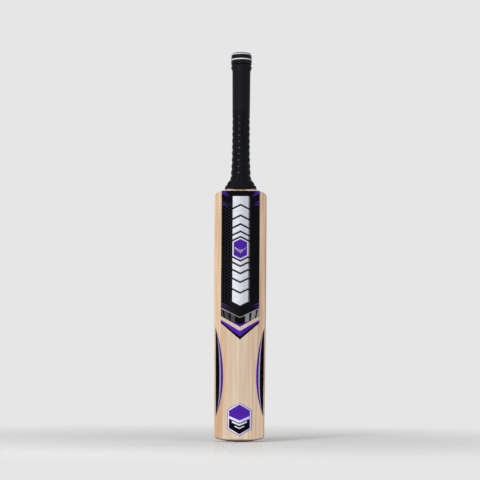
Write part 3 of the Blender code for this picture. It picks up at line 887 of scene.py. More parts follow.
PURPLE_FILM = Ink(
    "purple_film", "purple_film", shine=0.08, colour=(0.060, 0.009, 0.30), mottled=(0.070, 0.012, 0.35),
)
EDGE_PURPLE = Ink(
    "edge_purple", "purple_film", shine=0.08, colour=(0.050, 0.0075, 0.255), mottled=(0.056, 0.0085, 0.28),
)
# The chevron film's fade from lighter at the left to darker at the right is painted shade, as from the key
# lamp at the left.
CHEVRON_FILM_PAINTED_SHADE = Ink(
    "chevron_film", "purple_film", shine=0.08, colour=(0.086, 0.012, 0.43), mottled=(0.074, 0.009, 0.38),
    fade=(0.043, 0.007, 0.27), fade_from=-0.010, fade_to=0.012,
)
SLASH_INK = Ink(
    "slash_ink", "purple_film", shine=0.05, colour=(0.012, 0.003, 0.050), mottled=(0.018, 0.004, 0.080),
    fade=(0.056, 0.017, 0.24), fade_from=0.022, fade_to=0.039, fade_outwards=True,
)


@functools.cache
def material_of(finish: Finish) -> Material:
    """The one material of a finish."""
    return finish.material()


def handle_axis() -> float:
    """Where the handle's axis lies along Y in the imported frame."""
    low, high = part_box("grip_collar")
    return (low.y + high.y) / 2


def place(name: str, mesh: Mesh, finish: Finish, *replaced: str) -> Piece:
    """Adds a finished piece to the bat.

    Args:
        name: The piece's name.
        mesh: Its mesh, about the handle's axis.
        finish: What it is made of.
        *replaced: The solids that it stands for.

    Returns:
        The piece.
    """
    mesh.transform(Matrix.Translation((0.0, handle_axis(), 0.0)))
    mesh.materials.clear()
    mesh.materials.append(material_of(finish))
    mesh.shade_smooth()
    mesh.set_sharp_from_angle(angle=SHARP_ANGLE)
    made = linked(name, mesh)
    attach(made, BODY)
    if replaced:
        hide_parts(*replaced)
    return made


def dress_solid(node: str, finish: Finish) -> Piece:
    """Gives a solid that stays a better finish.

    Args:
        node: The solid's node.
        finish: What it is made of.

    Returns:
        The solid.
    """
    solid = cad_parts[node]
    solid.data.materials.clear()
    solid.data.materials.append(material_of(finish))
    return solid


class SubAssembly:
    """Pieces that are built and dressed together."""

    def build(self) -> Meshes:
        """The meshes by the names of their pieces."""
        raise NotImplementedError

    def looks(self) -> Looks:
        """The finish of each piece, followed by the solids that it stands for."""
        raise NotImplementedError

    def dress(self, meshes: Meshes) -> list[Piece]:
        """The finished pieces, in the order of their meshes."""
        looks = self.looks()
        return [place(name, mesh, *looks[name]) for name, mesh in meshes.items()]


@dataclass(frozen=True)
class BladeForm:
    """The rule of the blade's surface about the handle's axis, which the solids follow too."""

    half_width: float = 0.0540
    toe_half_width: float = 0.0512
    taper_height: float = 0.330
    taper_ease: float = 1.5
    length: float = 0.5185
    toe_flat_half: float = 0.0070
    toe_crown: float = 0.0054
    toe_corner: float = 0.0045
    shoulder_corner: float = 0.0080
    shoulder_rise: float = 0.0095
    neck_foot_half: float = 0.0293
    neck_height: float = 0.0280
    neck_radius: float = 0.0170
    face_offset: float = 0.0175
    face_crown: float = 0.0016
    swell_height: float = 0.190
    spine: Point = (0.0270, 0.0600, 0.0380)
    edge: Point = (0.0210, 0.0340, 0.0210)
    spine_sharpness: float = 1.15
    face_edge_round: float = 0.0028
    back_edge_round: float = 0.0080
    toe_edge_round: float = 0.0030
    roundest_corner: float = 0.9
    deepest_corner: float = 0.48
    toe_steps: int = 14
    corner_steps: int = 8
    side_steps: int = 96
    slope_steps: int = 6
    neck_steps: int = 14
    face_steps: int = 40
    back_steps: int = 72

    @property
    def neck_foot(self) -> float:
        """Height of the foot of the neck."""
        return self.length + self.shoulder_rise

    @property
    def neck_top(self) -> float:
        """Height of the top of the neck."""
        return self.neck_foot + self.neck_height

    def side(self, z: float) -> float:
        """Half the width at a height, without the rounding at the corners."""
        draw = max(0.0, 1.0 - z / self.taper_height)
        return self.half_width - (self.half_width - self.toe_half_width) * draw**self.taper_ease

    def face(self, x: float) -> float:
        """The crowned face, the same all the way up."""
        return -self.face_offset + self.face_crown * (x / self.half_width) ** 2

    def swell(self, z: float, sizes: Point) -> float:
        """A thickness that rises from the toe to the swell and eases down to the shoulder.

        Args:
            z: The height.
            sizes: The thickness at the toe, at the swell and at the shoulder.

        Returns:
            The thickness.
        """
        toe, middle, shoulder = sizes
        if z < self.swell_height:
            return blend(toe, middle, math.sin(math.pi / 2 * z / self.swell_height))
        return blend(middle, shoulder, smooth((z - self.swell_height) / (self.length - self.swell_height)))

    def neck_share(self, z: float) -> float:
        """How far the section has turned into the round neck."""
        return smooth((z - self.length) / (self.neck_top - self.length))

    def toe_inset(self, z: float) -> float:
        """How far the rounding of the toe's front and back edges draws in."""
        left = max(0.0, self.toe_edge_round - z)
        return self.toe_edge_round - math.sqrt(self.toe_edge_round**2 - left**2)

    def front(self, x: float, z: float) -> float:
        """The front, which is the face until the neck turns round."""
        return blend(self.face(x), -self.neck_radius, self.neck_share(z)) + self.toe_inset(z)

    def back(self, x: float, z: float) -> float:
        """The back: a spine between two hollows, falling to the edges.

        Args:
            x: Where across the blade.
            z: The height.

        Returns:
            How far behind the handle's axis it lies.
        """
        spine = blend(self.swell(z, self.spine) - self.face_offset, self.neck_radius, self.neck_share(z))
        edge = self.swell(z, self.edge) - self.face_offset + self.face_crown
        across = min(abs(x) / self.side(z), 1.0)
        rise = ((1.0 + math.cos(math.pi * across)) / 2) ** self.spine_sharpness
        return blend(edge, spine, rise) - self.toe_inset(z)

    def stations(self) -> list[Flat]:
        """Works up the outline from the flat of the toe to the top of the neck.

        Returns:
            Each station's height and half width.
        """
        made = [(0.0, self.toe_flat_half)]
        corner_top = self.toe_crown + self.toe_corner
        corner_x = self.side(corner_top) - self.toe_corner
        for share in shares(self.toe_steps)[1:]:
            made.append((self.toe_crown * share**2, blend(self.toe_flat_half, corner_x, share)))
        for share in shares(self.corner_steps)[1:]:
            turn = math.pi / 2 * share
            height = self.toe_crown + self.toe_corner * (1.0 - math.cos(turn))
            made.append((height, corner_x + self.toe_corner * math.sin(turn)))
        side_top = self.length - self.shoulder_corner
        for share in shares(self.side_steps)[1:]:
            height = blend(corner_top, side_top, share)
            made.append((height, self.side(height)))
        run = self.shoulder_corner / math.hypot(self.half_width - self.neck_foot_half, self.shoulder_rise)
        slope_z = self.length + self.shoulder_rise * run
        slope_x = blend(self.half_width, self.neck_foot_half, run)
        for share in shares(self.corner_steps)[1:]:
            height = blend(blend(side_top, self.length, share), blend(self.length, slope_z, share), share)
            made.append((height, blend(self.half_width, slope_x, share**2)))
        for share in shares(self.slope_steps)[1:]:
            made.append((blend(slope_z, self.neck_foot, share), blend(slope_x, self.neck_foot_half, share)))
        for share in shares(self.neck_steps)[1:]:
            half = blend(self.neck_radius, self.neck_foot_half, (1 - share) ** 2)
            made.append((self.neck_foot + self.neck_height * share, half))
        return made

    def quarter(self, centre: Flat, radius: float, start: float, z: float) -> list[Point]:
        """Points of a quarter turn to the left from an angle, without the last one."""
        turns = [start + math.pi / 2 * share for share in shares(self.corner_steps)[:-1]]
        return [(centre[0] + radius * math.cos(t), centre[1] + radius * math.sin(t), z) for t in turns]

    def section(self, z: float, half_width: float, grow: float) -> list[Point]:
        """One ring round the blade.

        Args:
            z: Its height.
            half_width: Half its width.
            grow: How far it is grown outwards.

        Returns:
            The ring's points.
        """
        wide = half_width + grow
        deep = self.back(half_width, z) - self.front(half_width, z) + 2 * grow
        turned_in = math.sqrt(self.neck_share(z))
        limit = min(self.deepest_corner * deep, self.roundest_corner * wide)
        neck_round = self.roundest_corner * self.neck_radius
        front_round = min(blend(self.face_edge_round, neck_round, turned_in), limit)
        back_round = min(blend(self.back_edge_round, neck_round, turned_in), limit)
        front_flat, back_flat = wide - front_round, wide - back_round
        front_y = self.front(front_flat, z) - grow + front_round
        back_y = self.back(back_flat, z) + grow - back_round
        ring = []
        for share in shares(self.face_steps)[:-1]:
            x = blend(-front_flat, front_flat, share)
            ring.append((x, self.front(x, z) - grow, z))
        ring += self.quarter((front_flat, front_y), front_round, -math.pi / 2, z)
        ring.append((wide, front_y, z))
        ring += self.quarter((back_flat, back_y), back_round, 0.0, z)
        for share in shares(self.back_steps)[:-1]:
            x = blend(back_flat, -back_flat, share)
            ring.append((x, self.back(x, z) + grow, z))
        ring += self.quarter((-back_flat, back_y), back_round, math.pi / 2, z)
        ring.append((-wide, back_y, z))
        ring += self.quarter((-front_flat, front_y), front_round, math.pi, z)
        return ring

    def body(self, name: str, grow: float = 0.0, above: float = -1.0) -> Mesh:
        """The closed shape of the blade before its splice is cut.

        Args:
            name: The mesh's name.
            grow: How far it is grown outwards.
            above: The height that it starts from.

        Returns:
            The shape.
        """
        rings = [self.section(z, half, grow) for z, half in self.stations() if z > above]
        if grow:
            rings[-1] = [(x, y, z + grow) for x, y, z in rings[-1]]
        return loft(name, rings)


@dataclass(frozen=True)
class Splice:
    """The V that joins the handle to the blade."""

    form: BladeForm
    cane_radius: float = 0.0140
    tip_half: float = 0.0012
    length: float = 0.150
    straight: float = 0.0020
    fit: float = 0.0003

    def outline(self, grow: float, top: float) -> list[Flat]:
        """Draws the V.

        Args:
            grow: How far it is grown by a clearance.
            top: The height that it reaches.

        Returns:
            The V's corners in X and Z.
        """
        half, tip = self.cane_radius + grow, self.tip_half + grow
        knee = self.form.neck_top - self.straight
        low = self.form.neck_top - self.length - grow
        return [(-half, top), (-half, knee), (-tip, low), (tip, low), (half, knee), (half, top)]


@dataclass(frozen=True)
class Blade(SubAssembly):
    """The willow blade with the slot for the splice."""

    form: BladeForm
    splice: Splice
    slot_depth: float = 0.15

    def build(self) -> Meshes:
        """The blade's mesh.

        Returns:
            The meshes by the names of their pieces.
        """
        top = self.form.neck_top + self.slot_depth
        slot = prism("splice_slot", self.splice.outline(self.splice.fit, top), self.slot_depth)
        return {"willow_blade": carve(self.form.body("willow_blade"), slot, Cut.AWAY)}

    def looks(self) -> Looks:
        """The blade in willow."""
        return {"willow_blade": (WILLOW, "blade")}


@dataclass(frozen=True)
class Handle(SubAssembly):
    """The glued cane handle: strips that show are modelled finely, and the hidden ones stay as solids."""

    form: BladeForm
    splice: Splice
    strip_width: float = 0.0104
    layer_pitch: float = 0.0070
    spring_thickness: float = 0.0012
    glue_line: float = 0.0003
    segments: int = 96
    reach: float = 0.15
    root_height: float = 0.4
    columns: tuple[str, ...] = ("left", "middle", "right")

    def blank(self) -> Mesh:
        """The whole glued handle before it is split into strips.

        Returns:
            The closed shape, with its wedge.
        """
        knee = self.form.neck_top - self.splice.straight
        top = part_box("twine_binding")[1].z
        wedge = prism("cane_wedge", self.splice.outline(0.0, self.form.neck_top), self.reach)
        around = self.form.body("cane_surround", above=self.root_height)
        wedge = carve(wedge, around, Cut.SHARED)
        rings = [circle(self.splice.cane_radius, z, self.segments) for z in (knee, top)]
        return carve(loft("cane_blank", rings), wedge, Cut.JOINED)

    def build(self) -> Meshes:
        """The strips of the front and back layers.

        Returns:
            The meshes by the names of their pieces.
        """
        blank = self.blank()
        layer_edge = self.layer_pitch + self.spring_thickness / 2 + self.glue_line
        inner, outer = (self.strip_width - self.glue_line) / 2, (self.strip_width + self.glue_line) / 2
        depths = {CaneLayer.FRONT: (-self.reach, -layer_edge), CaneLayer.BACK: (layer_edge, self.reach)}
        widths = ((-self.reach, -outer), (-inner, inner), (outer, self.reach))
        meshes = {}
        for layer, (y0, y1) in depths.items():
            for column, (x0, x1) in zip(self.columns, widths):
                name = f"cane_{layer.value}_{column}"
                rings = [[(x0, y0, z), (x1, y0, z), (x1, y1, z), (x0, y1, z)] for z in (0.0, 1.0)]
                meshes[name] = carve(loft(name, rings), blank.copy(), Cut.SHARED)
        return meshes

    def looks(self) -> Looks:
        """The strips in cane."""
        ends = [f"{layer.value}_{column}" for layer in CaneLayer for column in self.columns]
        return {f"cane_{end}": (CANE, f"cane_strip_{end}") for end in ends}

    def dress(self, meshes: Meshes) -> list[Piece]:
        """Dresses the strips, and the solids that stay.

        Args:
            meshes: The strips by the names of their pieces.

        Returns:
            The finished pieces.
        """
        pieces = super().dress(meshes)
        for layer in ("mid_front", "mid_back"):
            pieces += [dress_solid(f"cane_strip_{layer}_{column}", CANE) for column in self.columns]
        for spring in ("front", "middle", "back"):
            pieces.append(dress_solid(f"rubber_spring_{spring}", SPRING_RUBBER))
        pieces.append(dress_solid("twine_binding", WAXED_TWINE))
        return pieces


@functools.cache
def rib_tree() -> Tree:
    """Raises rounded ribs on a sleeve about the Z axis, each a pitch above the last.

    Returns:
        A geometry tree with the ribs' sizes as inputs.
    """
    sizes = {"Bottom": 0.0, "Pitch": 0.013, "Count": 9}
    sizes |= {"Bottom Depth": 0.0, "Top Depth": 0.0, "Roundness": 0.7}
    wires = new_group("GeometryNodeTree", "Grip Ribs", GEOMETRY | sizes | PAINT, GEOMETRY)
    given = wires.given()
    position = wires.first("GeometryNodeInputPosition")
    outwards = wires.vector("NORMALIZE", wires.vector("MULTIPLY", position, (1.0, 1.0, 0.0)))
    height = wires.axis(position, "Z")
    turn = wires.math("DIVIDE", wires.less(height, given["Bottom"]), given["Pitch"])
    index = wires.math("FLOOR", turn)
    begun = wires.math("GREATER_THAN", turn, 0.0)
    inside = wires.times(begun, wires.math("LESS_THAN", turn, given["Count"]))
    last = wires.less(given["Count"], 1.0)
    share = wires.math("DIVIDE", index, last)
    change = wires.less(given["Top Depth"], given["Bottom Depth"])
    depth = wires.math("MULTIPLY_ADD", change, share, given["Bottom Depth"])
    arch = wires.math("SINE", wires.times(wires.math("FRACT", turn), math.pi))
    crown = wires.math("POWER", wires.math("MAXIMUM", arch, 0.0), given["Roundness"])
    rise = wires.times(wires.times(crown, depth), inside)
    offset = wires.first("ShaderNodeVectorMath", {0: outwards, "Scale": rise}, operation="SCALE")
    moved = wires.first("GeometryNodeSetPosition", {"Geometry": given["Geometry"], "Offset": offset})
    real = wires.first("GeometryNodeRealizeInstances", {"Geometry": moved})
    painted = wires.first("GeometryNodeSetMaterial", {"Geometry": real, "Material": given["Material"]})
    return wires.give(Geometry=painted)


@dataclass(frozen=True)
class Grip(SubAssembly):
    """The rubber sleeve: a lip hugging the shoulders, a stepped flare, ribs, a smooth length and a roll."""

    form: BladeForm
    fit: float = 0.0003
    bore: float = 0.0154
    wall: float = 0.0019
    rib_count: int = 9
    rib_pitch: float = 0.01336
    rib_depth_top: float = 0.0010
    rib_depth_bottom: float = 0.0017
    rib_roundness: float = 0.7
    ribs_above_neck: float = 0.0034
    rib_swell: float = 0.0019
    rib_swell_height: float = 0.0530
    smooth_foot: float = 0.0060
    smooth_bottom: float = 0.01825
    smooth_top: float = 0.0190
    lip_half_width: float = 0.0332
    lip_wall: float = 0.0021
    lip_dip: float = 0.0045
    lip_inset: float = 0.0060
    lip_exponent: float = 4.5
    flare_steps: Point = (0.0110, 0.0104, 0.0068)
    flare_outs: Point = (0.22, 0.68, 1.0)
    step_roundness: float = 0.8
    dip_ease: float = 1.5
    top_radius: float = 0.0216
    top_roll: float = 0.0150
    roll_turn: float = 0.85
    bore_start: float = 0.002
    bore_end: float = 0.01
    shoulders_from: float = 0.5
    segments: int = 120
    flare_rings: int = 12
    rib_rings: int = 14
    foot_rings: int = 10
    plain_rings: int = 20
    roll_rings: int = 18

    @property
    def ribs_bottom(self) -> float:
        """Height of the foot of the lowest rib."""
        return self.form.neck_top + self.ribs_above_neck

    @property
    def ribs_top(self) -> float:
        """Height of the top of the highest rib."""
        return self.ribs_bottom + self.rib_count * self.rib_pitch

    @property
    def top(self) -> float:
        """Height of the sleeve's upper end."""
        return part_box("grip_sleeve")[1].z

    def valley(self, z: float) -> float:
        """The sleeve's radius between ribs, which grows towards the flare."""
        share = max(0.0, 1.0 - (z - self.ribs_bottom) / self.rib_swell_height)
        return self.bore + self.wall + self.rib_swell * share**2

    def round_ring(self, z: float, radius: float) -> list[Point]:
        """One ring where the sleeve is round."""
        return self.ring(z, (radius, radius, radius), 2.0, 0.0)

    def ring(self, z: float, sizes: Point, square: float, dip: float) -> list[Point]:
        """One ring, round or squarer, whose front and back hang down by the dip.

        Args:
            z: Its height at the sides.
            sizes: Its half width, its depth in front of the axis and its depth behind.
            square: The exponent of its curve, 2 where it is round.
            dip: How far its front and back hang.

        Returns:
            The ring's points.
        """
        side, front, back = sizes
        points = []
        for share in shares(self.segments)[:-1]:
            turn = 2 * math.pi * share
            across, along = math.cos(turn), math.sin(turn)
            depth = back if along > 0 else front
            x = math.copysign(side * abs(across) ** (2 / square), across)
            y = math.copysign(depth * abs(along) ** (2 / square), along)
            points.append((x, y, z - dip * along**2))
        return points

    def lip_sizes(self) -> Point:
        """Half width, front depth and back depth of the lip."""
        around, offset = self.fit + self.lip_wall, self.form.face_offset
        return (self.lip_half_width, offset + around, self.form.spine[2] - offset + around)

    def flare(self) -> list[list[Point]]:
        """Rings of the flare from the lip up to the lowest rib.

        Returns:
            The rings, from the bottom up.
        """
        lip, total, valley = self.lip_sizes(), sum(self.flare_steps), self.valley(self.ribs_bottom)
        rings = []
        z, start = self.ribs_bottom, 0.0
        for height, end in zip(self.flare_steps, self.flare_outs):
            for share in shares(self.flare_rings)[1:]:
                out = blend(start, end, math.sin(math.pi / 2 * share) ** self.step_roundness)
                level = z - height * share
                dip = self.lip_dip * ((self.ribs_bottom - level) / total) ** self.dip_ease
                sizes = tuple(blend(valley, size, out) for size in lip)
                rings.append(self.ring(level, sizes, blend(2.0, self.lip_exponent, out), dip))
            z, start = z - height, end
        inner = tuple(size - self.lip_inset for size in lip)
        rings.append(self.ring(z, inner, self.lip_exponent, self.lip_dip))
        return rings[::-1]

    def shaft(self) -> list[list[Point]]:
        """Rings from the lowest rib to the sleeve's upper end, before the ribs are raised.

        Returns:
            The rings, from the bottom up.
        """
        foot_top, roll_bottom = self.ribs_top + self.smooth_foot, self.top - self.top_roll
        levels = [blend(self.ribs_bottom, self.ribs_top, s) for s in shares(self.rib_count * self.rib_rings)]
        rings = [self.round_ring(z, self.valley(z)) for z in levels]
        for share in shares(self.foot_rings)[1:]:
            rise = math.sin(math.pi / 2 * share) ** self.rib_roundness
            radius = blend(self.valley(self.ribs_top), self.smooth_bottom, rise)
            rings.append(self.round_ring(blend(self.ribs_top, foot_top, share), radius))
        for share in shares(self.plain_rings)[1:-1]:
            radius = blend(self.smooth_bottom, self.smooth_top, share)
            rings.append(self.round_ring(blend(foot_top, roll_bottom, share), radius))
        for share in shares(self.roll_rings):
            bulge = math.sin(math.pi * self.roll_turn * share) ** 2
            radius = blend(self.smooth_top, self.top_radius, bulge)
            rings.append(self.round_ring(blend(roll_bottom, self.top, share), radius))
        return rings

    def build(self) -> Meshes:
        """The sleeve's mesh, hollowed for the handle and for the shoulders of the blade.

        Returns:
            The meshes by the names of their pieces.
        """
        values = {
            "Bottom": self.ribs_bottom,
            "Pitch": self.rib_pitch,
            "Count": self.rib_count,
            "Bottom Depth": self.rib_depth_bottom,
            "Top Depth": self.rib_depth_top,
            "Roundness": self.rib_roundness,
            "Material": material_of(GRIP_RUBBER),
        }
        sleeve = grown(loft("rubber_sleeve", self.flare() + self.shaft()), rib_tree(), values)
        levels = (self.form.neck_top - self.bore_start, self.top + self.bore_end)
        rings = [circle(self.bore, z, self.segments) for z in levels]
        sleeve = carve(sleeve, loft("grip_bore", rings), Cut.AWAY)
        clearance = self.form.body("blade_clearance", grow=self.fit, above=self.shoulders_from)
        return {"rubber_sleeve": carve(sleeve, clearance, Cut.AWAY)}

    def looks(self) -> Looks:
        """The sleeve in black rubber."""
        return {"rubber_sleeve": (GRIP_RUBBER, "grip_sleeve")}


@dataclass(frozen=True)
class Collar(SubAssembly):
    """The collar at the end of the handle, with two white rings let into it."""

    radius: float = 0.0216
    bore: float = 0.0154
    hole: float = 0.0090
    lid: float = 0.0032
    height: float = 0.0238
    corner: float = 0.0014
    hole_round: float = 0.0008
    bore_round: float = 0.0005
    ring_depth: float = 0.0012
    ring_proud: float = 0.0001
    ring_fit: float = 0.00015
    ring_round: float = 0.0005
    groove_round: float = 0.0003
    drawn_in: float = 0.0022
    drawn_height: float = 0.0095
    corner_steps: int = 6
    segments: int = 144

    def rounded(self, corners: Sequence[tuple[float, float, float]]) -> list[Flat]:
        """Rounds the corners of a profile.

        Args:
            corners: Radius and height of each corner, and how far its rounding reaches.

        Returns:
            The profile's points.
        """
        points = []
        for index, (r, z, reach) in enumerate(corners):
            here = Vector((r, z))
            if reach == 0.0:
                points.append((r, z))
                continue
            before = Vector(corners[index - 1][:2])
            after = Vector(corners[(index + 1) % len(corners)][:2])
            start = here + (before - here).normalized() * reach
            end = here + (after - here).normalized() * reach
            for share in shares(self.corner_steps):
                points.append(tuple(start.lerp(here, share).lerp(here.lerp(end, share), share)))
        return points

    def domed(self, profile: Sequence[Flat], top: float) -> list[Flat]:
        """Draws the outside of a profile in towards the end of the handle.

        Args:
            profile: The profile's points.
            top: Height of the end.

        Returns:
            The points, with those inside the bore where they were.
        """
        points = []
        for r, z in profile:
            share = max(0.0, 1.0 - (top - z) / self.drawn_height)
            points.append((r - self.drawn_in * share**2 if r > self.bore else r, z))
        return points

    def ring_spans(self) -> dict[str, Flat]:
        """Lower and upper height of each ring, by its node."""
        boxes = {node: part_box(node) for node in ("white_ring_upper", "white_ring_lower")}
        return {node: (low.z, high.z) for node, (low, high) in boxes.items()}

    def build(self) -> Meshes:
        """The collar and its rings.

        Returns:
            The meshes by the names of their pieces.
        """
        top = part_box("grip_collar")[1].z
        bottom, lid = top - self.height, top - self.lid
        groove = self.radius - self.ring_depth
        corners = [(self.hole, top, self.hole_round), (self.radius, top, self.corner)]
        for low, high in self.ring_spans().values():
            floor, roof = low - self.ring_fit, high + self.ring_fit
            corners += [(self.radius, roof, self.groove_round), (groove, roof, 0.0)]
            corners += [(groove, floor, 0.0), (self.radius, floor, self.groove_round)]
        corners += [(self.radius, bottom, self.corner), (self.bore, bottom, self.bore_round)]
        corners += [(self.bore, lid, 0.0), (self.hole, lid, 0.0)]
        profile = self.domed(self.rounded(corners), top)
        meshes = {"rubber_collar": turned("rubber_collar", profile, self.segments)}
        inner, outer = groove + self.ring_fit, self.radius + self.ring_proud
        for node, (low, high) in self.ring_spans().items():
            section = [(inner, high, 0.0), (outer, high, self.ring_round)]
            section += [(outer, low, self.ring_round), (inner, low, 0.0)]
            profile = self.domed(self.rounded(section), top)
            meshes[node.replace("white_", "collar_")] = turned(node, profile, self.segments)
        return meshes

    def looks(self) -> Looks:
        """The collar in black rubber and its rings in white."""
        rings = {f"collar_ring_{end}": (RING_RUBBER, f"white_ring_{end}") for end in ("upper", "lower")}
        return {"rubber_collar": (COLLAR_RUBBER, "grip_collar")} | rings


@dataclass(frozen=True)
class FaceSheet:
    """Lays flat outlines on the crowned face as thin closed sheets, one above the other."""

    form: BladeForm
    gap: float = 0.00015
    film: float = 0.00025
    ink: float = 0.00005
    strip: float = 0.0025

    def level(self, layer: Layer) -> Flat:
        """How far a layer's bottom and top lie off the face."""
        bottom = self.gap if layer is Layer.FILM else self.gap + self.film / 2
        return (bottom, self.gap + self.film + self.ink * layer.value)

    def lay(self, name: str, outlines: Iterable[Outline], layer: Layer) -> Mesh:
        """Makes one sheet from outlines in X and Z.

        Args:
            name: The mesh's name.
            outlines: Outlines that touch or lie apart.
            layer: The film itself, or an ink on it.

        Returns:
            The closed sheet.
        """
        bm = bmesh.new()
        for outline in outlines:
            bm.faces.new([bm.verts.new((x, 0.0, z)) for x, z in outline])
        bmesh.ops.remove_doubles(bm, verts=bm.verts, dist=WELD)
        reach = int(self.form.half_width / self.strip)
        for index in range(-reach, reach + 1):
            geometry = bm.verts[:] + bm.edges[:] + bm.faces[:]
            plane = {"plane_co": (index * self.strip, 0.0, 0.0), "plane_no": (1.0, 0.0, 0.0)}
            bmesh.ops.bisect_plane(bm, geom=geometry, dist=WELD, **plane)
        bottom, top = self.level(layer)
        rim = [tuple(edge.verts) for edge in bm.edges if edge.is_boundary]
        faces = list(bm.faces)
        upper = list(bm.verts)
        under = {v: bm.verts.new((v.co.x, self.form.face(v.co.x) - bottom, v.co.z)) for v in upper}
        for vert in upper:
            vert.co.y = self.form.face(vert.co.x) - top
        for face in faces:
            bm.faces.new([under[vert] for vert in reversed(face.verts)])
        for a, b in rim:
            bm.faces.new((a, b, under[b], under[a]))
        return finish_mesh(name, bm)


def chevron(half: float, side_top: float, notch: float, side_bottom: float, point: float) -> list[Outline]:
    """A V with straight sides, in two halves so that each is convex enough to fill well."""
    return halves([(0.0, notch), (half, side_top), (half, side_bottom), (0.0, point)])


@dataclass(frozen=True)
class Label(SubAssembly):
    """Films and inks on the face."""

    sheet: FaceSheet

    def prints(self) -> Looks:
        """Each piece's outlines, layer and finish, followed by the solids that it stands for."""
        raise NotImplementedError

    def build(self) -> Meshes:
        """A sheet for each print."""
        return {name: self.sheet.lay(name, *drawn[:2]) for name, drawn in self.prints().items()}

    def looks(self) -> Looks:
        """The finish of each print, and the solids that it stands for."""
        return {name: drawn[2:] for name, drawn in self.prints().items()}


@functools.cache
def cell_tree() -> Tree:
    """A field of six-sided cells on the crowned face, in staggered columns, that shrink from left to right.

    Returns:
        A geometry tree with the field's sizes as inputs.
    """
    names = ["Column Pitch", "Row Pitch", "Cell Radius", "Thickness", "Left", "Top", "Fade From", "Fade To"]
    names += ["V Side", "V Slope", "Half Width", "Lift", "Face Offset", "Face Crown"]
    sizes = {"Columns": 10, "Rows": 30} | dict.fromkeys(names, 0.0) | {"Face Half Width": 0.05}
    wires = new_group("GeometryNodeTree", "Cell Field", GEOMETRY | sizes | PAINT, GEOMETRY)
    given = wires.given()
    count = wires.times(given["Columns"], given["Rows"])
    points = wires.first("GeometryNodeMeshLine", {"Count": count})
    index = wires.first("GeometryNodeInputIndex")
    column = wires.math("FLOOR", wires.math("DIVIDE", index, given["Rows"]))
    row = wires.math("MODULO", index, given["Rows"])
    stagger = wires.times(wires.math("MODULO", column, 2.0), 0.5)
    x = wires.math("MULTIPLY_ADD", column, given["Column Pitch"], given["Left"])
    drop = wires.times(wires.math("ADD", row, stagger), given["Row Pitch"])
    z = wires.less(given["Top"], drop)
    spot = wires.first("ShaderNodeCombineXYZ", {0: x, 2: z})
    spots = wires.first("GeometryNodeSetPosition", {"Geometry": points, "Position": spot})
    away = wires.less(given["Half Width"], wires.math("ABSOLUTE", x))
    floor = wires.less(given["V Side"], wires.times(away, given["V Slope"]))
    shown = wires.math("GREATER_THAN", z, floor)
    size = wires.span(x, given["Fade From"], given["Fade To"], 1.0, 0.0)
    shown = wires.times(shown, wires.math("GREATER_THAN", size, SMALLEST_CELL))
    cell = wires.node(
        "GeometryNodeMeshCylinder",
        {"Vertices": 6, "Radius": given["Cell Radius"], "Depth": given["Thickness"]},
        fill_type="NGON",
    ).outputs["Mesh"]
    turn = {"Geometry": cell, "Rotation": (math.pi / 2, 0.0, 0.0)}
    upright = wires.first("GeometryNodeTransform", turn)
    scale = wires.first("ShaderNodeCombineXYZ", {0: size, 1: 1.0, 2: size})
    copies = {"Points": spots, "Selection": shown, "Instance": upright, "Scale": scale}
    placed = wires.first("GeometryNodeInstanceOnPoints", copies)
    real = wires.first("GeometryNodeRealizeInstances", {"Geometry": placed})
    across = wires.axis(wires.first("GeometryNodeInputPosition"), "X")
    ratio = wires.math("DIVIDE", across, given["Face Half Width"])
    crowned = wires.times(given["Face Crown"], wires.times(ratio, ratio))
    depth = wires.less(wires.less(crowned, given["Face Offset"]), given["Lift"])
    offset = wires.first("ShaderNodeCombineXYZ", {1: depth})
    seated = wires.first("GeometryNodeSetPosition", {"Geometry": real, "Offset": offset})
    painted = wires.first("GeometryNodeSetMaterial", {"Geometry": seated, "Material": given["Material"]})
    return wires.give(Geometry=painted)


@dataclass(frozen=True)
class Slash:
    """A tapering slash from the panel's side: its corners' heights there, its reach and its tip's height."""

    upper: float
    lower: float
    reach: float
    tip: float

    def outlines(self, half: float, base: float) -> list[Outline]:
        """The slash on both sides of the panel, with its heights measured from a base."""
        shape = [(half, base + self.upper), (half - self.reach, base + self.tip), (half, base + self.lower)]
        return [mirrored(shape, side) for side in Side]


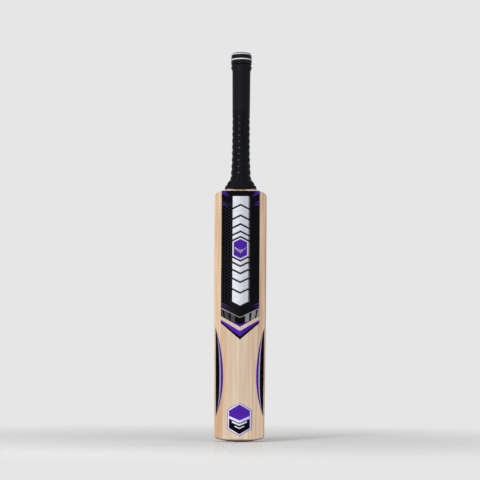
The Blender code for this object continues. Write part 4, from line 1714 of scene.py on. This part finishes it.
@dataclass(frozen=True)
class FaceLabel(Label):
    """The film on the upper face: a panel, a band and a chevron, with their prints."""

    v_rise: float = 0.0200
    seam: float = 0.0005
    band_side: float = 0.0164
    band_middle: float = 0.0190
    chevron_gaps: Flat = (0.0076, 0.0086)
    chevron_side: float = 0.0072
    chevron_middle: float = 0.0179
    edge_side: float = 0.0034
    edge_middle: float = 0.0066
    bar_half: float = 0.0164
    bars_below_top: float = 0.0115
    bar_lengths: tuple[float, ...] = (0.024, 0.018, 0.014, 0.011, 0.007)
    bar_gap: float = 0.0044
    emblem_length: float = 0.030
    emblem_rim: float = 0.0024
    crest_drop: float = 0.0115
    crest_width: float = 0.0030
    crest_inset: float = 0.0022
    shade_width: float = 0.0040
    shade_under: float = 0.0012
    line_width: float = 0.0015
    block_tops: tuple[Flat, ...] = ((0.0106, 0.0193), (0.0245, 0.0336), (0.0370, 0.0398))
    block_feet: tuple[Flat, ...] = ((0.0106, 0.0190), (0.0222, 0.0308), (0.0338, 0.0398))
    accent_depth: float = 0.0044
    accent_knee: Flat = (0.0120, 0.0034)
    accent_half: float = 0.0208
    corner_across: float = 0.0085
    corner_down: float = 0.0060
    corner_tip: Flat = (0.0172, 0.0142)
    upper_slashes: tuple[Slash, ...] = (
        Slash(-0.0205, -0.0232, 0.0160, -0.0300),
        Slash(-0.0268, -0.0296, 0.0180, -0.0335),
    )
    lower_slashes: tuple[Slash, ...] = (
        Slash(0.0130, 0.0098, 0.0215, 0.0010),
        Slash(0.0062, 0.0040, 0.0120, 0.0018),
    )
    cells_below_top: float = 0.0345
    cell_column_pitch: float = 0.0058
    cell_row_pitch: float = 0.00685
    cell_radius: float = 0.0029
    cell_margin: float = 0.0053
    cell_clearance: float = 0.012
    cell_rows_spared: int = 5
    cell_fade_start: float = 0.004
    cell_fade_end: float = 0.004

    @property
    def half(self) -> float:
        """Half the panel's width."""
        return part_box("face_label_panel")[1].x

    @property
    def top(self) -> float:
        """Height of the panel's upper edge."""
        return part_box("face_label_panel")[1].z

    @property
    def point(self) -> float:
        """Height of the panel's point."""
        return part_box("face_label_panel")[0].z

    @property
    def side_bottom(self) -> float:
        """Height of the panel's lower corners."""
        return self.point + self.v_rise

    @property
    def slope(self) -> float:
        """How steeply the V rises from its point to the sides."""
        return (self.side_bottom - self.point) / self.half

    @property
    def band_edge(self) -> Flat:
        """Heights of the band's lower edge at the sides and at its point."""
        return (self.side_bottom - self.band_side, self.point - self.band_middle)

    @property
    def chevron_edges(self) -> BarSpan:
        """Heights of the chevron: side top, notch, side bottom and point."""
        side, notch = (edge - gap for edge, gap in zip(self.band_edge, self.chevron_gaps))
        return (side, notch, side - self.chevron_side, notch - self.chevron_middle)

    def band_floor(self, x: float) -> float:
        """Height of the band's lower edge."""
        side, middle = self.band_edge
        return blend(middle, side, abs(x) / self.half)

    def panel_floor(self, x: float) -> float:
        """Height of the panel's lower edge."""
        return self.point + self.slope * abs(x)

    @property
    def bar_drop(self) -> float:
        """How far the bars' middles lie above or below their sides."""
        return self.slope * self.bar_half

    def bar(self, span: BarSpan, inset: float = 0.0) -> list[Outline]:
        """Draws a bar.

        Args:
            span: Heights of its upper and lower edge at the sides, and how far the middle of each lies above.
            inset: How far all of it is drawn in.

        Returns:
            Its two halves.
        """
        top, bottom, top_rise, bottom_rise = span
        half, peak = self.bar_half - inset, inset * math.hypot(1.0, self.slope)
        shift = inset * (math.hypot(1.0, self.slope) - self.slope)
        right = [(0.0, top + top_rise - peak), (half, top - shift), (half, bottom + shift)]
        return halves([*right, (0.0, bottom + bottom_rise + peak)])

    def bar_spans(self) -> tuple[list[BarSpan], BarSpan]:
        """Works out where the bars lie on both sides of the emblem, and where the emblem lies.

        Returns:
            The bars' spans and the emblem's.
        """
        drop, z = self.bar_drop, self.top - self.bars_below_top
        spans = []
        for index, length in enumerate(self.bar_lengths):
            spans.append((z, z - length, drop if index else 0.0, drop))
            z -= length + self.bar_gap
        emblem = (z, z - self.emblem_length, drop, -drop)
        z -= self.emblem_length + self.bar_gap
        for length in self.bar_lengths[::-1]:
            spans.append((z, z - length, -drop, -drop))
            z -= length + self.bar_gap
        return spans, emblem

    def shades(self, span: BarSpan) -> list[Outline]:
        """Draws the soft shade to the right of a bar and under it.

        Args:
            span: Where the bar lies.

        Returns:
            Its outlines.
        """
        top, bottom, _, bottom_rise = span
        half, edge, under = self.bar_half, self.bar_half + self.shade_width, self.shade_under
        fall, low = self.slope * self.shade_width, bottom + bottom_rise
        beside = [(half, top), (edge, top - fall), (edge, bottom - fall)]
        beside += [(half, bottom - under), (half, bottom)]
        below = [(0.0, low), (half, bottom), (half, bottom - under), (0.0, low - under)]
        return [beside, *halves(below)]

    def bars(self) -> dict[str, list[Outline]]:
        """Draws bars that point away from a six-sided emblem and widen towards both ends, and their shade.

        Returns:
            The outlines by ink.
        """
        spans, emblem = self.bar_spans()
        silver = [half for span in spans for half in self.bar(span)]
        shade = [outline for span in spans + [emblem] for outline in self.shades(span)]
        inner = self.bar(emblem, self.emblem_rim)
        for outside, inside in zip(self.bar(emblem), inner):
            silver += [list(edge) for edge in zip(outside, outside[1:], inside[1:], inside)]
        crest_top, fall = emblem[0] - self.crest_drop, -self.bar_drop
        crest = (crest_top, crest_top - self.crest_width, fall, fall)
        silver += self.bar(crest, self.emblem_rim + self.crest_inset)
        return {"silver": silver, "accent": inner, "shade": shade}

    def slashes(self) -> list[Outline]:
        """Draws the tapering slashes in the panel's corners.

        Returns:
            Their outlines.
        """
        half, top = self.half, self.top
        tip_across, tip_down = self.corner_tip
        corner = [(half, top), (half - self.corner_across, top)]
        corner += [(half - tip_across, top - tip_down), (half, top - self.corner_down)]
        made = [mirrored(corner, side) for side in Side]
        for base, slashes in ((top, self.upper_slashes), (self.side_bottom, self.lower_slashes)):
            made += [outline for slash in slashes for outline in slash.outlines(half, base)]
        return made

    def blocks(self) -> list[Outline]:
        """Draws slanted blocks along the band, from the panel's line down to the band's lower edge.

        Returns:
            Their outlines.
        """
        made = []
        for (inner_top, outer_top), (inner_low, outer_low) in zip(self.block_tops, self.block_feet):
            corners = [(x, self.panel_floor(x) - self.seam) for x in (inner_top, outer_top)]
            corners += [(x, self.accent_top(x)) for x in (outer_low, inner_low)]
            made += [mirrored(corners, side) for side in Side]
        return made

    def accent_top(self, x: float) -> float:
        """Finds the upper edge of the accent along the band's point, or of the band's lower edge beyond it.

        Args:
            x: Where across the band.

        Returns:
            Its height.
        """
        knee, knee_depth = self.accent_knee
        if abs(x) < knee:
            depth = blend(self.accent_depth, knee_depth, abs(x) / knee)
        else:
            depth = knee_depth * max(0.0, (self.accent_half - abs(x)) / (self.accent_half - knee))
        return self.band_floor(x) + depth

    def accent_v(self) -> list[Outline]:
        """The accent along the band's point, thickest in the middle."""
        tops = [(x, self.accent_top(x)) for x in (0.0, self.accent_knee[0], self.accent_half)]
        return halves([*tops, (0.0, self.band_floor(0.0))])

    def v_line(self) -> list[Outline]:
        """The line along the panel's lower edge."""
        side, point = self.side_bottom, self.point
        return chevron(self.half, side + self.line_width, point + self.line_width, side, point)

    def chevron_outline(self) -> list[Outline]:
        """The dark lower edge of the chevron."""
        _, _, side, point = self.chevron_edges
        return chevron(self.half, side + self.edge_side, point + self.edge_middle, side, point)

    def cells(self) -> Mesh:
        """Makes the field of cells on the left of the panel.

        Returns:
            The cells as one mesh.
        """
        form, left = self.sheet.form, -self.half + self.cell_margin
        low, high = self.sheet.level(Layer.LOW_INK)
        values = {
            "Columns": int(self.half / self.cell_column_pitch) + 1,
            "Rows": int((self.top - self.point) / self.cell_row_pitch) - self.cell_rows_spared,
            "Column Pitch": self.cell_column_pitch,
            "Row Pitch": self.cell_row_pitch,
            "Cell Radius": self.cell_radius,
            "Thickness": high - low,
            "Left": left,
            "Top": self.top - self.cells_below_top,
            "Fade From": left + self.cell_fade_start,
            "Fade To": self.cell_fade_end,
            "V Side": self.side_bottom + self.cell_clearance,
            "V Slope": self.slope,
            "Half Width": self.half,
            "Lift": (low + high) / 2,
            "Face Offset": form.face_offset,
            "Face Crown": form.face_crown,
            "Face Half Width": form.half_width,
            "Material": material_of(CELL_INK),
        }
        return grown(bpy.data.meshes.new("panel_cells"), cell_tree(), values)

    def prints(self) -> Looks:
        """Draws the films, and the prints by ink.

        Returns:
            Each piece's outlines, layer, finish and, for a film, its solid.
        """
        half, seam, bars = self.half, self.seam, self.bars()
        panel = [(0.0, self.top), (half, self.top), (half, self.side_bottom), (0.0, self.point)]
        band = chevron(half, self.side_bottom - seam, self.point - seam, *self.band_edge)
        strip = chevron(half, *self.chevron_edges)
        return {
            "panel_film": (halves(panel), Layer.FILM, PANEL_FILM, "face_label_panel"),
            "band_film": (band, Layer.FILM, BLACK_FILM, "face_label_band"),
            "chevron_film": (strip, Layer.FILM, CHEVRON_FILM_PAINTED_SHADE, "face_label_chevron"),
            "panel_bars": (bars["silver"], Layer.TOP_INK, SILVER_INK),
            "panel_bar_shade": (bars["shade"], Layer.MIDDLE_INK, SHADE_INK),
            "panel_accent": (bars["accent"], Layer.TOP_INK, PURPLE_FILM),
            "panel_slashes": (self.slashes(), Layer.MIDDLE_INK, SLASH_INK),
            "panel_v_line": (self.v_line(), Layer.TOP_INK, LINE_INK),
            "band_blocks": (self.blocks(), Layer.LOW_INK, BLOCK_INK),
            "band_accent": (self.accent_v(), Layer.MIDDLE_INK, PURPLE_FILM),
            "chevron_edge": (self.chevron_outline(), Layer.LOW_INK, BLACK_FILM),
        }

    def build(self) -> Meshes:
        """The films and prints, and the field of cells."""
        return super().build() | {"panel_cells": self.cells()}

    def looks(self) -> Looks:
        """The finish of each print and of the cells."""
        return super().looks() | {"panel_cells": (CELL_INK,)}


@dataclass(frozen=True)
class EdgeLabels(Label):
    """Lens-shaped films along the edges: black outside, then a silver line and a purple one."""

    widest: float = 0.1340
    width: float = 0.0153
    margin: float = 0.0030
    silver_span: Flat = (0.54, 0.69)
    purple_span: Flat = (0.69, 1.0)
    tip_dark: float = 0.5
    steps: int = 64

    @property
    def top(self) -> float:
        """Height of the lens's upper tip."""
        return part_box("edge_label_right")[1].z

    @property
    def bottom(self) -> float:
        """Height of the lens's lower tip."""
        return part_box("edge_label_right")[0].z

    def reach(self, z: float) -> float:
        """The lens's width at a height, as a share of its greatest width."""
        end = self.bottom if z < self.widest else self.top
        return 1.0 - ((z - self.widest) / (end - self.widest)) ** 2

    def strip(self, side: Side, low: float, high: float) -> list[Outline]:
        """Quads between two shares of the lens's width.

        Args:
            side: The edge that it lies along.
            low: The share where it starts, from the blade's edge inwards.
            high: The share where it ends.

        Returns:
            The quads, from the bottom up.
        """
        rows = []
        for share in shares(self.steps):
            z = blend(self.bottom, self.top, share)
            outer = self.sheet.form.side(z) - self.margin
            reach = max(self.reach(z), 0.0)
            wide = self.width * reach
            pull = self.tip_dark * (1.0 - reach)
            near, far = (s + (1.0 - s) * pull if s else 0.0 for s in (low, high))
            rows.append(((outer - wide * near, z), (outer - wide * far, z)))
        quads = []
        for (a, b), (c, d) in zip(rows, rows[1:]):
            corners = [a, b, d, c]
            kept = [p for i, p in enumerate(corners) if math.dist(p, corners[i - 1]) > 2 * WELD]
            if len(kept) > 2:
                quads.append(mirrored(kept, side))
        return quads

    def prints(self) -> Looks:
        """Draws the film, the silver line and the purple line of each side.

        Returns:
            Each piece's outlines, layer, finish and, for a film, its solid.
        """
        made = {}
        for side in Side:
            name = side.name.lower()
            film, silver = self.strip(side, 0.0, 1.0), self.strip(side, *self.silver_span)
            made[f"edge_film_{name}"] = (film, Layer.FILM, BLACK_FILM, f"edge_label_{name}")
            made[f"edge_silver_{name}"] = (silver, Layer.LOW_INK, LINE_SILVER)
            made[f"edge_purple_{name}"] = (self.strip(side, *self.purple_span), Layer.LOW_INK, EDGE_PURPLE)
        return made


@dataclass(frozen=True)
class ToeBadge(Label):
    """The tall six-sided badge near the toe: a silver rim round chevrons."""

    peak: float = 0.0150
    rim_start: float = 0.0010
    rim_width: float = 0.0022
    chevron_drop: float = 0.0110
    chevron_rise: float = 0.0068
    chevron_pitch: float = 0.0100
    chevron_sizes: tuple[Flat, ...] = ((0.84, 0.0050), (0.62, 0.0034), (0.40, 0.0022))
    field_gap: float = 0.0008

    @property
    def half(self) -> float:
        """Half the badge's width."""
        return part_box("toe_label")[1].x

    @property
    def top(self) -> float:
        """Height of the badge's upper point."""
        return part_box("toe_label")[1].z

    @property
    def bottom(self) -> float:
        """Height of the badge's lower point."""
        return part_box("toe_label")[0].z

    @property
    def middle(self) -> float:
        """Height of the badge's middle."""
        return (self.top + self.bottom) / 2

    def hexagon(self, inset: float) -> list[Flat]:
        """Draws the badge's outline.

        Args:
            inset: How far it is drawn in.

        Returns:
            Its corners, from the top round to the right.
        """
        slant = math.hypot(self.half, self.peak)
        fall = inset * slant / self.half
        step = inset * (slant - self.peak) / self.half
        half = self.half - inset
        upper, lower = self.top - self.peak - step, self.bottom + self.peak + step
        right = [(0.0, self.top - fall), (half, upper), (half, lower)]
        return [*right, (0.0, self.bottom + fall), (-half, lower), (-half, upper)]

    def rim(self) -> list[Outline]:
        """The rim's six sides."""
        outer, inner = (self.hexagon(self.rim_start + width) for width in (0.0, self.rim_width))
        return [list(side) for side in zip(outer, outer[1:] + outer[:1], inner[1:] + inner[:1], inner)]

    def field(self) -> list[Outline]:
        """The dark lower half of the badge inside the rim."""
        inner = self.hexagon(self.rim_start + self.rim_width + self.field_gap)
        return halves([(0.0, self.middle - self.chevron_drop), (inner[1][0], self.middle), *inner[2:4]])

    def chevrons(self) -> list[Outline]:
        """Draws the silver chevrons across the middle, each narrower than the one above.

        Returns:
            Their outlines.
        """
        made = []
        for index, (share, tall) in enumerate(self.chevron_sizes):
            top = self.middle + self.chevron_rise - self.chevron_pitch * index
            drop = self.chevron_drop * share
            made += chevron(self.half * share, top, top - drop, top - tall, top - tall - drop)
        return made

    def prints(self) -> Looks:
        """Draws the badge in purple, silver and black.

        Returns:
            Each piece's outlines, layer, finish and, for a film, its solid.
        """
        return {
            "toe_film": ([self.hexagon(0.0)], Layer.FILM, PURPLE_FILM, "toe_label"),
            "toe_rim": (self.rim(), Layer.LOW_INK, SILVER_INK),
            "toe_field": (self.field(), Layer.LOW_INK, BLACK_FILM),
            "toe_chevrons": (self.chevrons(), Layer.MIDDLE_INK, SILVER_INK),
        }


@dataclass(frozen=True)
class Lamp:
    """A soft lamp: where it stands, seen by the camera, its size and its power."""

    name: str
    right: float
    near: float
    up: float
    width: float
    height: float
    power: float


@dataclass(frozen=True)
class Stage:
    """The camera's angle, the floor that the leaning bat stands on, the lamps and the background.

    The bat leans back in the photograph, so in its own frame the floor and the camera are tilted instead.
    """

    lean: float = math.radians(9.5)
    distance: float = 10.0
    eye_height: float = 0.4181
    eye_right: float = -0.0009
    roll: float = math.radians(0.34)
    lens: float = 361.9
    sensor: float = 36.0
    clip_end: float = 100.0
    floor_radius: float = 1.3
    floor_segments: int = 96
    floor_fade: Flat = (0.12, 0.80)
    floor_colour: Colour = (0.92, 0.92, 0.92)
    floor_finish: Finish = Finish("floor", "", roughness=0.5, shine=0.0, coat=0.12, coat_roughness=0.15)
    background: Colour = (0.79, 0.79, 0.79)
    sky: Colour = (1.0, 1.0, 1.0)
    sky_strength: float = 0.22
    lamps: tuple[Lamp, ...] = (
        Lamp("key", -1.0, 1.9, 0.04, 0.55, 0.32, 31.5),
        Lamp("upper", -0.7, 1.5, 1.6, 1.6, 1.2, 5.0),
        Lamp("top", 0.0, 0.2, 2.4, 1.4, 1.4, 15.0),
        Lamp("fill", 1.6, 1.2, 0.5, 1.2, 1.2, 3.0),
        Lamp("rear", 0.9, -1.4, 2.0, 1.2, 1.2, 6.0),
    )

    @property
    def right(self) -> Vector:
        """To the right in the photograph."""
        return Vector((1.0, 0.0, 0.0))

    @property
    def away(self) -> Vector:
        """Level and away from the camera."""
        return Vector((0.0, math.cos(self.lean), math.sin(self.lean)))

    @property
    def up(self) -> Vector:
        """Upright in the photograph."""
        return Vector((0.0, -math.sin(self.lean), math.cos(self.lean)))

    def foot(self, blade: Piece) -> Vector:
        """The lowest point of the leaning blade, in its middle plane."""
        lowest = min((vert.co for vert in blade.data.vertices), key=lambda co: co.dot(self.up))
        return Vector((0.0, lowest.y, lowest.z))

    def axes(self) -> Matrix:
        """Turns right, up and towards the camera into the bat's frame."""
        return Matrix((self.right, self.up, -self.away)).transposed()

    def add_camera(self, foot: Vector) -> None:
        """Sets the camera level, at the height of an eye, facing the bat.

        Args:
            foot: Where the toe meets the floor.
        """
        data = bpy.data.cameras.new("camera")
        data.sensor_width = self.sensor
        data.lens = self.lens
        data.clip_end = self.clip_end
        camera = linked("camera", data)
        place_at = foot + self.up * self.eye_height - self.away * self.distance + self.right * self.eye_right
        turn = self.axes() @ Matrix.Rotation(self.roll, 3, "Z")
        camera.matrix_world = Matrix.Translation(place_at) @ turn.to_4x4()
        bpy.context.scene.camera = camera

    def add_lamps(self) -> None:
        """Sets each soft lamp to face the middle of the bat."""
        middle = Vector((0.0, 0.0, (CAD_BOX[0].z + CAD_BOX[1].z) / 2))
        for lamp in self.lamps:
            data = bpy.data.lights.new(lamp.name, "AREA")
            data.shape = "RECTANGLE"
            data.size = lamp.width
            data.size_y = lamp.height
            data.energy = lamp.power
            made = linked(lamp.name, data)
            made.location = middle + self.right * lamp.right - self.away * lamp.near + self.up * lamp.up
            made.rotation_mode = "QUATERNION"
            made.rotation_quaternion = (middle - made.location).to_track_quat("-Z", "Y")

    def floor_material(self) -> Material:
        """Makes a pale polished floor that shows only from above and fades out round the bat.

        Returns:
            The material.
        """
        material, wires, shader, place_at = self.floor_finish.start()
        shader.inputs["Base Color"].default_value = (*self.floor_colour, 1.0)
        reach = wires.node("ShaderNodeVectorMath", {0: place_at}, operation="LENGTH").outputs["Value"]
        near, far = (share * self.floor_radius for share in self.floor_fade)
        solid = wires.span(reach, near, far, 1.0, 0.0)
        under = wires.node("ShaderNodeNewGeometry").outputs["Backfacing"]
        solid = wires.times(solid, wires.less(1.0, under))
        clear = wires.node("ShaderNodeBsdfTransparent").outputs[0]
        mixed = wires.node("ShaderNodeMixShader", {0: solid, 1: clear, 2: shader.outputs[0]})
        wires.link(mixed.outputs[0], material.node_tree.nodes["Material Output"].inputs["Surface"])
        return material

    def add_floor(self, foot: Vector) -> None:
        """Lays the floor under the leaning toe.

        Args:
            foot: Where the toe meets the floor.
        """
        bm = bmesh.new()
        bmesh.ops.create_circle(bm, cap_ends=True, segments=self.floor_segments, radius=self.floor_radius)
        mesh = bpy.data.meshes.new("floor")
        bm.to_mesh(mesh)
        bm.free()
        mesh.materials.append(self.floor_material())
        floor = linked("floor", mesh)
        floor.location = foot
        floor.rotation_euler = (self.lean, 0.0, 0.0)

    def add_world(self) -> None:
        """A pale background, and a weaker even light from all round."""
        world = bpy.data.worlds.new("studio")
        bpy.context.scene.world = world
        world.use_nodes = True
        wires = Wires(world.node_tree)
        light = world.node_tree.nodes["Background"]
        light.inputs["Color"].default_value = (*self.sky, 1.0)
        light.inputs["Strength"].default_value = self.sky_strength
        shown = wires.node("ShaderNodeBackground", {"Color": (*self.background, 1.0), "Strength": 1.0})
        path = wires.node("ShaderNodeLightPath").outputs
        seen = wires.math("MAXIMUM", path["Is Camera Ray"], path["Is Glossy Ray"])
        seen = wires.math("MAXIMUM", seen, path["Is Transmission Ray"])
        mixed = wires.node("ShaderNodeMixShader", {0: seen, 1: light.outputs[0], 2: shown.outputs[0]})
        wires.link(mixed.outputs[0], world.node_tree.nodes["World Output"].inputs["Surface"])

    def set_up(self, blade: Piece) -> None:
        """Puts the whole stage round the bat.

        Args:
            blade: The finished blade, whose toe stands on the floor.
        """
        foot = self.foot(blade)
        self.add_camera(foot)
        self.add_lamps()
        self.add_floor(foot)
        self.add_world()
        bpy.context.scene.view_settings.view_transform = "Standard"


def main() -> None:
    """Builds and dresses the bat, then sets the stage."""
    logging.basicConfig(level=logging.INFO, format="%(name)s: %(message)s")
    form = BladeForm()
    splice = Splice(form)
    sheet = FaceSheet(form)
    assemblies: list[SubAssembly] = [
        Blade(form, splice),
        Handle(form, splice),
        Grip(form),
        Collar(),
        FaceLabel(sheet),
        EdgeLabels(sheet),
        ToeBadge(sheet),
    ]
    pieces = []
    for assembly in assemblies:
        for piece in assembly.dress(assembly.build()):
            log.info("%s %s: %d faces", type(assembly).__name__, piece.name, len(piece.data.polygons))
            pieces.append(piece)
    Stage().set_up(pieces[0])


if __name__ == "__main__":
    main()
